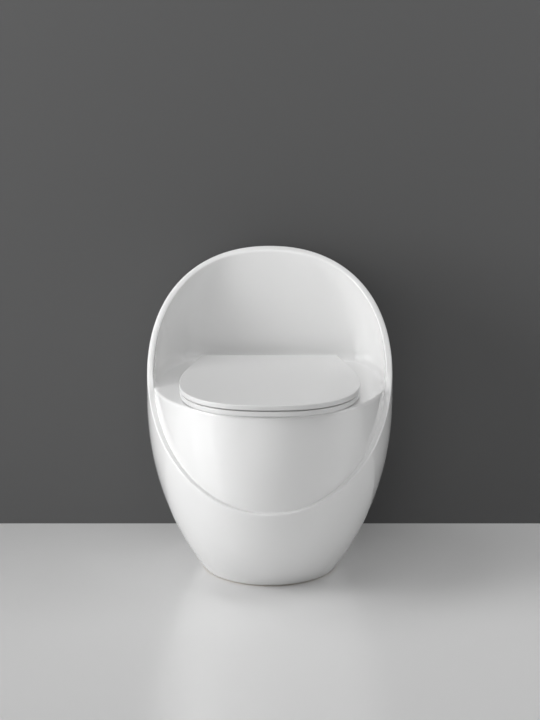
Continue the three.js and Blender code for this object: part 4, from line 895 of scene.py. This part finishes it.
def chrome_plate():
    """Bright chrome with faint wipe marks."""
    f, c = Finish("chrome plate"), finishes()
    wipe = f.noise(70.0, 3.0, stretch=(1, 6, 1))
    rough = 0.05 + f.ramp(wipe, 0.45, 0.9) * 0.14
    tone = f.blend(f.noise(9.0, 2.0), c.chrome, shaded(c.chrome, 0.94))
    return f.finish(Base_Color=tone, Metallic=1.0, Roughness=rough, Normal=f.bump(wipe, 0.00004, 0.2))


def zinc_steel():
    """Zinc-plated steel with drawn lines and dull clouds."""
    f, c = Finish("zinc steel"), finishes()
    drawn = f.noise(900.0, 2.0, stretch=(0.06, 1, 1))
    cloud = f.ramp(f.noise(55.0, 3.0), 0.35, 0.7)
    tone = f.blend(cloud, c.steel, shaded(c.steel, 0.72))
    rough = 0.26 + cloud * 0.16 + drawn * 0.08
    return f.finish(Base_Color=tone, Metallic=1.0, Roughness=rough, Normal=f.bump(drawn, 0.00006, 0.3))


FINISH_OF_SLOT = {
    "china": glazed_china,
    "seat_plastic": seat_plastic,
    "white_plastic": lambda: moulded_plastic("white plastic", finishes().white_plastic, 0.38),
    "blue_plastic": lambda: moulded_plastic("blue plastic", finishes().blue_plastic, 0.32),
    "black_rubber": lambda: rubber("black rubber", finishes().black_rubber),
    "pale_rubber": lambda: rubber("pale rubber", finishes().pale_rubber),
    "chrome": chrome_plate,
    "steel": zinc_steel,
}
made_finishes = {}


def finish_for(slot):
    if slot not in made_finishes:
        made_finishes[slot] = FINISH_OF_SLOT[slot]()
    return made_finishes[slot]


def dress(made, slot, body, *nodes):
    """Gives a new piece its finish, its body and the nodes that it stands for."""
    made.data.materials.clear()
    made.data.materials.append(finish_for(slot))
    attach(made, body)
    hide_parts(*nodes)


def cast_nodes():
    """The china nodes that the body stands for: all but the trapway behind it and the loose cover."""
    china = [row["node"] for row in frame["record"]["subparts"] if row["material_slot"] == "china"]
    return [name for name in china if not name.startswith("trapway") and name != "tank_cover"]


class TOILET_OT_body(bpy.types.Operator):
    """Cast the glazed body: base, apron, deck, basin, hood, rim and tank in one piece"""

    bl_idname = "toilet.body"
    bl_label = "Cast the body"

    def execute(self, context):
        egg = Egg(body_sizes(), bowl_sizes())
        columns = [envelope_profile(egg, angle) for angle in angles(AROUND)]
        body = piece("china_body", wrapped(columns))
        combine(body, cast_hollows(egg), "DIFFERENCE")
        soften(body, CHINA_CREASE)
        dress(body, "china", "body", *cast_nodes())
        return {"FINISHED"}


class TOILET_OT_cover(bpy.types.Operator):
    """Cut the loose cover of the tank, which carries the flush button"""

    bl_idname = "toilet.cover"
    bl_label = "Cut the tank cover"

    def execute(self, context):
        egg = Egg(body_sizes(), bowl_sizes())
        bowl = egg.bowl
        s = egg.s
        low = s.rim_top - bowl.hatch_below_rim - COVER_LOW
        fine = COVER_ROWS, COVER_AROUND
        dome = s.apex_height - s.back_wall
        cover = egg_solid("tank_cover_china", egg, egg.skin, low, s.apex_height - HAIR, *fine)
        combine(cover, [egg_solid("under", egg, egg.wall, low - 0.01, dome - HAIR, *fine)], "DIFFERENCE")
        combine(cover, [hatch_prism("cover_prism", egg, bowl.cover_gap, low - 0.02)], "INTERSECT")
        margin = bowl.hatch_ledge + SKIRT_GAP
        below = low - 0.03
        band = egg_solid("band", egg, egg.wall.thicker(-SKIRT_OVERLAP), below, dome, *fine)
        combine(band, [hatch_prism("band_outside", egg, margin, below - 0.01)], "INTERSECT")
        combine(band, [
            egg_solid("band_under", egg, egg.wall.thicker(SKIRT_WALL), below - 0.01, dome - SKIRT_WALL, *fine),
            hatch_prism("band_inside", egg, margin + SKIRT_WALL, below - 0.02),
            above_rim("band_roof", egg, -SKIRT_ROOF),
        ], "DIFFERENCE")
        combine(cover, [band], "UNION")
        centre, axis = button_place()
        out = centre + axis * DRILL_REACH
        combine(cover, [
            bar("bezel_hole", BEZEL_HOLE, centre - axis * DRILL_REACH, out, 64),
            bar("bezel_seat", BEZEL_SEAT, centre - axis * BEZEL_DEPTH, out, 64),
            bar("nut_seat", NUT_SEAT, centre - axis * DRILL_REACH, centre - axis * NUT_DEPTH, 64),
        ], "DIFFERENCE")
        soften(cover, CHINA_CREASE)
        dress(cover, "china", "tank_cover", "tank_cover")
        return {"FINISHED"}


def button_place():
    """The button's middle on the cover and the direction out of it."""
    joints = {joint["name"]: joint for joint in frame["joints"]}
    axis = -Vector(joints["full_flush_press"]["axis"])
    low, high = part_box("button_bezel")
    return Vector(((low.x + high.x) / 2, BUTTON_Y, BUTTON_HEIGHT)), axis.normalized()


def lid_outline(inset, steps=64):
    """The right half of the lid's outline from the front to the back, seen from above."""
    s = seat_sizes()
    half, depth = s.half_width - inset, s.front - inset - s.widest_forward
    power = 2 / s.front_power
    points = []
    for i in range(steps + 1):
        angle = math.pi / 2 * i / steps
        points.append(Vector((half * math.sin(angle) ** power,
                              -s.widest_forward - depth * math.cos(angle) ** power)))
    widest = Vector((half, -s.widest_forward))
    shoulder = Vector((half, -s.shoulder_forward))
    side = Vector((s.straight_half_width - inset, s.straight_end))
    points += bent(widest, shoulder, side, 16)
    slope = (s.back_half_width - s.straight_half_width) / (s.back_edge - s.straight_end)
    back = s.back_edge - inset
    corner = Vector((side.x + slope * (back - s.straight_end), back))
    before = Vector((corner.x - slope * s.back_corner, back - s.back_corner))
    after = Vector((corner.x - s.back_corner, back))
    points += straight(side, before, 6)
    points += bent(before, corner, after, 8)
    points += straight(after, Vector((0, back)), 10)
    return points


def closed_outline(half):
    """Both halves of an outline that is mirrored across the middle."""
    return half + [Vector((-p.x, p.y)) for p in half[-2:0:-1]]


def slab(name, outline, low, high, rounding):
    """A flat outline pulled up, with its edges rounded off."""
    bm = bmesh.new()
    pull_up(bm, flat_face(bm, outline, low), high - low)
    edges = [edge for edge in bm.edges if abs(edge.verts[0].co.z - edge.verts[1].co.z) < 1e-6]
    round_off(bm, edges, rounding, 7)
    flats = sorted(bm.faces, key=lambda flat: flat.calc_area())[-2:]
    bmesh.ops.inset_individual(bm, faces=flats, thickness=0.0012, depth=0.0)
    bmesh.ops.recalc_face_normals(bm, faces=bm.faces)
    return piece(name, bm, sharp_angle=PART_CREASE)


class TOILET_OT_seat(bpy.types.Operator):
    """Mould the seat and the lid"""

    bl_idname = "toilet.seat"
    bl_label = "Mould the seat and the lid"

    def execute(self, context):
        s = seat_sizes()
        lid_bottom = LID_HIGH.z - SHEET
        lid = slab("seat_lid", closed_outline(lid_outline(0.0)), lid_bottom, LID_HIGH.z, s.edge_round)
        add_lugs(lid, "lid")
        dress(lid, "seat_plastic", "lid", "lid")
        seat_top = lid_bottom - SEAT_GAP
        seat_bottom = seat_top - SHEET
        outline = closed_outline(lid_outline(SEAT_INSET))
        seat = slab("toilet_seat", outline, seat_bottom, seat_top, s.edge_round)
        hole = []
        for angle in angles(96):
            power = 2 / s.hole_power
            middle, reach = (s.hole_rear - s.hole_front) / 2, (s.hole_rear + s.hole_front) / 2
            hole.append(Vector((s.hole_half_width * signed_power(math.cos(angle), power),
                                middle + reach * signed_power(math.sin(angle), power))))
        combine(seat, [prism("seat_hole", hole, seat_bottom - 0.01, seat_top + 0.01)], "DIFFERENCE")
        add_lugs(seat, "seat")
        dress(seat, "seat_plastic", "seat", "seat_ring")
        return {"FINISHED"}


def add_lugs(made, kind):
    """Cuts the relief for the hinges and adds the lugs that turn on the pins."""
    y, z = HINGE.y, HINGE.z
    cuts, lugs, bores = [], [], []

    def relief(name, left, right, front):
        cuts.append(block(name, (left, front, RELIEF_LOW), (right, RELIEF_REAR, RELIEF_HIGH)))

    if kind == "seat":
        relief("back_relief", -RELIEF_REAR, RELIEF_REAR, seat_sizes().back_relief)
    for name, side in (("left", -1), ("right", 1)):
        low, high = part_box(f"hinge_post_{name}")
        x = (low.x + high.x) / 2
        if kind == "seat":
            foot = Vector((x, FOOT_Y))
            cuts.append(upright("foot_relief", FOOT_RELIEF, foot, RELIEF_LOW, RELIEF_HIGH, 64))
            relief("post_relief", x - LUG_INNER, x + LUG_INNER, POST_RELIEF_Y)
            relief("lid_lug_relief", *sorted((x, x - side * (LUG_OUTER + LUG_ROOM))), LUG_RELIEF_Y)
            ends = sorted((x + side * LUG_INNER, x + side * LUG_OUTER))
            lugs.append(crossbar("lug", LUG_RADIUS, *ends, y, z))
            lugs.append(block("arm", (ends[0], ARM_Y, z - LUG_RADIUS), (ends[1], y, ARM_HEIGHT)))
        else:
            span = sorted((x - side * (LUG_INNER - POCKET_ROOM), x + side * (LUG_OUTER + LUG_ROOM)))
            cuts.append(crossbar("pocket", POCKET_RADIUS, *span, y, z))
            cuts.append(block("pocket_below", (span[0], y - POCKET_RADIUS, RELIEF_LOW),
                              (span[1], y + POCKET_RADIUS, z)))
            ends = sorted((x - side * LUG_INNER, x - side * LUG_OUTER))
            lugs.append(crossbar("lug", LUG_RADIUS, *ends, y, z))
        bores.append(crossbar("bore", PIN_HOLE, ends[0] - 0.002, ends[1] + 0.002, y, z, 24))
    combine(made, cuts, "DIFFERENCE")
    combine(made, lugs, "UNION")
    for node in frame["nodes"]:
        if node.startswith(f"{kind}_bumper_"):
            low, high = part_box(node)
            bores.append(upright("bumper_pocket", BUMPER_POCKET, (low + high) / 2, low.z - 0.003,
                                 high.z + BUMPER_ROOM))
    low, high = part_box(f"{kind}_damper")
    middle = (low + high) / 2
    bores.append(crossbar("damper_bore", DAMPER_BORE, low.x - BUMPER_ROOM, high.x + BUMPER_ROOM,
                          middle.y, middle.z, 32))
    combine(made, bores, "DIFFERENCE")
    soften(made, PART_CREASE)


class TOILET_OT_finish_parts(bpy.types.Operator):
    """Give every working part its finish"""

    bl_idname = "toilet.finish_parts"
    bl_label = "Finish the working parts"

    def execute(self, context):
        slots = {row["node"]: row["material_slot"] for row in frame["record"]["subparts"]}
        for name, node in frame["nodes"].items():
            node.data.materials.clear()
            node.data.materials.append(finish_for(slots[name]))
        return {"FINISHED"}


def button_frame():
    """A place on the cover's surface with its Z out of the cover."""
    centre, axis = button_place()
    across = Vector((1, 0, 0))
    place = Matrix((across, axis.cross(across), axis)).transposed().to_4x4()
    place.translation = centre
    return place


def part_disc(radius, edge, side, steps=56):
    """The part of a disc on one side of a straight edge, seen from above."""
    reach = math.acos(edge / radius)
    first, last = (-reach, reach) if side > 0 else (reach, 2 * math.pi - reach)
    turns = [mix(first, last, i / steps) for i in range(steps + 1)]
    return [Vector((radius * math.cos(turn), radius * math.sin(turn))) for turn in turns]


class TOILET_OT_button(bpy.types.Operator):
    """Turn the dual flush button, its bezel and the nut that holds it"""

    bl_idname = "toilet.button"
    bl_label = "Turn the flush button"

    def execute(self, context):
        s = fitting_sizes()
        place = button_frame()
        bore, floor, low = s.housing_radius - s.housing_wall, s.housing_wall - s.housing_depth, -s.bezel_sink
        profile = [(0, floor), (bore, floor), (bore, s.bezel_rise), (s.bezel_radius, s.bezel_rise),
                   (s.bezel_radius, low), (s.housing_radius, low), (s.housing_radius, -s.housing_depth),
                   (0, -s.housing_depth)]
        bezel = turned("flush_bezel", profile, place, 96, 0.0006)
        holes = []
        for name, side in (("full", -1), ("half", 1)):
            stem = (s.button_split + side * bore) / 2
            foot = place @ Vector((stem, 0, -s.housing_depth))
            out = (place @ Vector((stem, 0, STEM_HEAD))) - foot
            holes.append(bar("stem_hole", STEM_HOLE, foot - out * 0.1, foot + out * 0.3, 32))
            outline = part_disc(bore - CAP_GAP, s.button_split + side * CAP_GAP, side)
            cap = slab(f"flush_button_{name}", outline, CAP_LOW, CAP_HIGH, CAP_ROUND)
            cap.data.transform(place)
            combine(cap, [bar("stem", STEM_RADIUS, foot, foot + out, 32)], "UNION")
            soften(cap, PART_CREASE)
            dress(cap, "chrome", f"{name}_flush_button", f"button_{name}")
        combine(bezel, holes, "DIFFERENCE")
        bezel.data.set_sharp_from_angle(angle=math.radians(PART_CREASE))
        dress(bezel, "chrome", "tank_cover", "button_bezel")
        hole = s.housing_radius + NUT_GAP
        ring = [(hole, NUT_LOW), (s.nut_radius, NUT_LOW), (s.nut_radius, NUT_HIGH), (hole, NUT_HIGH)]
        nut = turned("flush_button_nut", ring, place, 80, 0.0004)
        grips = []
        for angle in angles(NUT_GRIPS):
            x, y = s.nut_radius * 1.02 * math.cos(angle), s.nut_radius * 1.02 * math.sin(angle)
            ends = [place @ Vector((x, y, z)) for z in (NUT_LOW - 0.002, NUT_HIGH + 0.002)]
            grips.append(bar("grip", GRIP_RADIUS, *ends, 16))
        combine(nut, grips, "DIFFERENCE")
        nut.data.set_sharp_from_angle(angle=math.radians(PART_CREASE))
        dress(nut, "white_plastic", "tank_cover", "button_nut")
        return {"FINISHED"}


class TOILET_OT_hinges(bpy.types.Operator):
    """Make the chrome hinge posts behind the seat"""

    bl_idname = "toilet.hinges"
    bl_label = "Make the hinge posts"

    def execute(self, context):
        s = fitting_sizes()
        radius, half = s.hinge_disc, s.hinge_width / 2
        y, z = HINGE.y, HINGE.z
        for name in ("left", "right"):
            low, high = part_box(f"hinge_post_{name}")
            x, foot_y, foot_top, back = (low.x + high.x) / 2, low.y + radius, low.z + 0.005, y - 0.0012
            disc = [(0, foot_top), (radius, foot_top), (radius, low.z), (0, low.z)]
            post = turned(f"hinge_post_{name}_chrome", disc, Matrix.Translation((x, foot_y, 0)), 96, 0.0012)
            tail = block("tail", (x - radius, back, low.z + 0.0007), (x + radius, high.y + 0.01, high.z))
            combine(post, [tail], "DIFFERENCE")
            neck = block("neck", (x - half, y - s.hinge_barrel, foot_top - 0.001), (x + half, back, z))
            barrel = [(0, x + half), (s.hinge_barrel, x + half), (s.hinge_barrel, x - half), (0, x - half)]
            lying = Matrix.Translation((0, y, z)) @ Matrix.Rotation(math.radians(90), 4, "Y")
            combine(post, [neck, turned("barrel", barrel, lying, 64, 0.0006)], "UNION")
            combine(post, [crossbar("pin_hole", PIN_HOLE, x - radius, x + radius, y, z, 32)], "DIFFERENCE")
            soften(post, PART_CREASE)
            dress(post, "chrome", "body", f"hinge_post_{name}")
        return {"FINISHED"}


class TOILET_OT_caps(bpy.types.Operator):
    """Turn the domed caps that hide the side screws"""

    bl_idname = "toilet.caps"
    bl_label = "Turn the screw caps"

    def execute(self, context):
        radius = fitting_sizes().screw_cap
        egg = Egg(body_sizes(), bowl_sizes())
        for name, side in (("left", -1), ("right", 1)):
            low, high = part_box(f"screw_cap_{name}")
            inner, outer = sorted((abs(low.x), abs(high.x)))
            dome = [(radius * math.sin(turn), outer - CAP_DOME * (1 - math.cos(turn)))
                    for turn in (math.pi / 2 * i / 10 for i in range(11))]
            hollow = outer - CAP_WALL
            profile = dome + [(radius, inner), (CAP_HOLLOW, inner), (CAP_HOLLOW, hollow), (0, hollow)]
            middle = (low + high) / 2
            lying = (Matrix.Translation((0, middle.y, middle.z))
                     @ Matrix.Rotation(side * math.radians(90), 4, "Y"))
            cap = turned(f"screw_cap_{name}_domed", profile, lying, 64)
            skin = egg_solid("skin", egg, egg.skin.thicker(-CAP_GAP), 0.0, 0.080, 16)
            combine(cap, [skin], "DIFFERENCE")
            soften(cap, PART_CREASE)
            dress(cap, "seat_plastic", "body", f"screw_cap_{name}")
        return {"FINISHED"}


# How far back towards the down leg, and how far up from the run to the weir
TRAP_ROUTE = ((0.15, 0.4), (0.34, 0.61), (0.47, 0.85), (0.67, 1), (0.89, 0.91), (1, 0.64), (0.95, 0.33),
              (0.7, 0.1), (0.3, 0))
# Shares of the last bend's quarter turn
BEND_TURNS = (1, 0.67, 0.33, 0)


class TOILET_OT_pipes(bpy.types.Operator):
    """Bend the trapway, the flush cable and the refill tube"""

    bl_idname = "toilet.pipes"
    bl_label = "Bend the pipes"

    def execute(self, context):
        s = fitting_sizes()
        start = Vector((0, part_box("trapway_riser")[0].y, INLET_HEIGHT))
        route = [start, start + Vector((0, 0.008, 0))]
        for back, up in TRAP_ROUTE:
            route.append(Vector((0, mix(start.y, LEG_Y, back), mix(RUN_HEIGHT, WEIR_HEIGHT, up))))
        for turn in (math.pi / 2 * turned_by for turned_by in BEND_TURNS):
            y, z = END_Y + BEND * (1 - math.cos(turn)), RUN_HEIGHT - BEND + BEND * math.sin(turn)
            route.append(Vector((0, y, z)))
        foot = Vector((0, END_Y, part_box("trapway_outlet")[0].z))
        route.append(foot)
        pipe = hose("trapway_pipe", route, s.trap_radius, 2 * TUBE_ROWS)
        past = Vector((0, 0.006, 0)), Vector((0, 0, 0.006))
        bore = [start - past[0]] + route + [foot - past[1]]
        combine(pipe, [hose("trapway_bore", bore, s.trap_bore, 2 * TUBE_ROWS)], "DIFFERENCE")
        soften(pipe, PIPE_CREASE)
        dress(pipe, "china", "body", "trapway_riser", "trapway_leg", "trapway_outlet")
        place = button_frame()
        cage = Vector((FLUSH_MIDDLE.x, FLUSH_MIDDLE.y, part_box("flush_cable")[0].z))
        reach = CAGE_RADIUS * math.cos(math.radians(45))
        top = cage + Vector((reach, reach, 0))
        first, inward = [place @ Vector((0, 0, -s.housing_depth - below)) for below in (0.0009, 0.0109)]
        middle = Vector((top.x / 2, (first.y + top.y) / 2, (first.z + top.z) / 2 + 0.008))
        route = [first, inward, middle, top + Vector((0, 0, 0.024)), top]
        cable = hose("flush_cable_sheath", route, s.cable_radius, 48, 20)
        dress(cable, "black_rubber", "body", "flush_cable")
        nozzle = Vector((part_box("refill_tube")[1].x, FILL_MIDDLE.y, NOZZLE_HEIGHT))
        port = cage + Vector((reach, -reach, 0.008))
        middle = Vector(((nozzle.x + port.x) / 2, (nozzle.y + port.y) / 2, nozzle.z + 0.013))
        route = [nozzle, nozzle - Vector((0.0067, 0, 0)), middle,
                 port + Vector((s.refill_radius, 0, 0.013)), port + Vector((0, 0, s.refill_radius)), port]
        tube = hose("refill_tube_clear", route, s.refill_radius, 48, 24)
        dress(tube, "white_plastic", "body", "refill_tube")
        return {"FINISHED"}


def area_light(name, place, target, size, power):
    data = bpy.data.lights.new(name, "AREA")
    data.shape = "RECTANGLE"
    data.size, data.size_y = size
    data.energy = power
    light = bpy.data.objects.new(name, data)
    light.location = place
    light.rotation_euler = (Vector(target) - Vector(place)).to_track_quat("-Z", "Y").to_euler()
    bpy.context.scene.collection.objects.link(light)


# Place, target, size and power of the studio's lamps
LAMPS = {
    "key": ((-2.5, -0.7, 1.2), (0, 0, 0.35), (1.4, 1.8), 50),
    "side": ((-2.0, -1.3, 0.9), (0, 0, 0.3), (1.0, 1.6), 9),
    "top": ((0, -0.9, 2.4), (0, 0, 0.3), (1.0, 0.8), 6),
    "back_top": ((-0.8, 0, 2.2), (0, 0, 0.3), (1.0, 0.7), 8),
    "fill": ((2.4, -0.3, 1.0), (0, 0, 0.35), (1.2, 1.6), 8),
    "upper_fill": ((1.4, -0.4, 1.9), (0, 0, 0.35), (1.2, 1.2), 8),
    "low_front": ((0.5, -3.6, 0.7), (0, 0, 0.3), (1.6, 0.9), 4),
    "front": ((0, -4.8, 1.6), (0, 0, 0.3), (2.4, 1.6), 15),
    "left_front": ((-1.0, -4.2, 1.0), (0, 0, 0.3), (1.6, 1.6), 17),
    "rear": ((0.6, 2.4, 1.9), (0, 0.2, 0.4), (1.6, 1.4), 40),
}
CAMERA_PLACE, CAMERA_PITCH = (0.0006, -4.2674, 1.4576), 76.778
WALL_Y, WALL_HALF = 0.3075, 3.0


def floor_finish():
    """Pale polished floor that mirrors the body softly, with painted shade darkening it towards the left."""
    f, c = Finish("studio floor"), finishes()
    cloud = f.noise(0.8, 0.0)
    # Painted shade: the floor's colour falls from full on the right to 0.64 of it on the left, standing in for
    # light falling off across the floor.
    tone = f.blend(f.ramp(f.along("X"), -0.6, 0.6), shaded(c.floor, 0.64), c.floor)
    tone = f.blend(cloud * 0.3, tone, shaded(c.floor, 0.96))
    return f.finish(Base_Color=tone, Roughness=0.24 + cloud * 0.02, Specular_IOR_Level=0.8)


def wall_finish():
    """Dark painted wall, seen from its front only, so that it hides nothing from behind. Painted shade darkens it
    on the left and painted light brightens it on the right.
    """
    f, c = Finish("studio wall"), finishes()
    cloud = f.noise(1.1, 0.0)
    # Painted shade and light: the wall's colour runs from 0.86 of it on the left to 1.25 of it on the right,
    # standing in for light falling across the wall.
    tone = f.blend(f.ramp(f.along("X"), -0.7, 0.7), shaded(c.wall, 0.86), shaded(c.wall, 1.25))
    tone = f.blend(cloud * 0.4, tone, shaded(c.wall, 0.95))
    paint = f.node("ShaderNodeBsdfPrincipled", {}, {"Base Color": tone, "Roughness": 0.85})
    clear = f.node("ShaderNodeBsdfTransparent")
    behind = f.node("ShaderNodeNewGeometry", out="Backfacing")
    mixed = f.node("ShaderNodeMixShader", {}, {0: behind, 1: paint, 2: clear})
    f.links.new(mixed.link, f.output.inputs["Surface"])
    return f.material


class TOILET_OT_stage(bpy.types.Operator):
    """Set the camera, the floor, the wall and the lights"""

    bl_idname = "toilet.stage"
    bl_label = "Set the studio"

    def execute(self, context):
        scene = context.scene
        scene.view_settings.view_transform = "Standard"
        lens = bpy.data.cameras.new("camera")
        lens.lens = 105
        lens.sensor_width = 36
        lens.clip_end = 50
        camera = bpy.data.objects.new("camera", lens)
        camera.location = CAMERA_PLACE
        camera.rotation_euler = (math.radians(CAMERA_PITCH), 0, 0)
        scene.collection.objects.link(camera)
        scene.camera = camera
        bm = bmesh.new()
        bmesh.ops.create_grid(bm, x_segments=1, y_segments=1, size=6)
        floor = piece("studio_floor", bm, smooth=False)
        floor.data.materials.append(floor_finish())
        bm = bmesh.new()
        bmesh.ops.create_grid(bm, x_segments=1, y_segments=1, size=WALL_HALF)
        bmesh.ops.rotate(bm, matrix=Matrix.Rotation(math.radians(90), 3, "X"), verts=bm.verts)
        bmesh.ops.translate(bm, vec=(0, WALL_Y, WALL_HALF), verts=bm.verts)
        wall = piece("studio_wall", bm, smooth=False)
        wall.data.materials.append(wall_finish())
        for name, settings in LAMPS.items():
            area_light(name, *settings)
        world = bpy.data.worlds.new("studio")
        world.use_nodes = True
        back = world.node_tree.nodes["Background"]
        back.inputs["Color"].default_value = (0.8, 0.8, 0.8, 1)
        back.inputs["Strength"].default_value = 0.03
        scene.world = world
        return {"FINISHED"}


class TOILET_PT_panel(bpy.types.Panel):
    """The toilet's sizes and steps"""

    bl_idname = "TOILET_PT_panel"
    bl_label = "Hooded Toilet"
    bl_space_type = "VIEW_3D"
    bl_region_type = "UI"
    bl_category = "Toilet"

    def draw(self, context):
        for operator in OPERATORS:
            self.layout.operator(operator.bl_idname)
        for group in SETTINGS:
            box = self.layout.box()
            settings = getattr(context.scene, group)
            for name in settings.__annotations__:
                box.prop(settings, name)


SETTINGS = {
    "toilet_body": BodyShape,
    "toilet_bowl": BowlShape,
    "toilet_seat": SeatShape,
    "toilet_fittings": FittingShape,
    "toilet_finishes": Finishes,
}
OPERATORS = (TOILET_OT_stage, TOILET_OT_finish_parts, TOILET_OT_body, TOILET_OT_cover, TOILET_OT_seat,
             TOILET_OT_button, TOILET_OT_hinges, TOILET_OT_caps, TOILET_OT_pipes)


def register():
    for made in (*SETTINGS.values(), *OPERATORS, TOILET_PT_panel):
        bpy.utils.register_class(made)
    for name, group in SETTINGS.items():
        setattr(bpy.types.Scene, name, PointerProperty(type=group))


def unregister():
    for name in SETTINGS:
        delattr(bpy.types.Scene, name)
    for made in (TOILET_PT_panel, *reversed(OPERATORS), *SETTINGS.values()):
        bpy.utils.unregister_class(made)


def main():
    register()
    for operator in OPERATORS:
        family, name = operator.bl_idname.split(".")
        getattr(getattr(bpy.ops, family), name)()


if __name__ == "__main__":
    main()
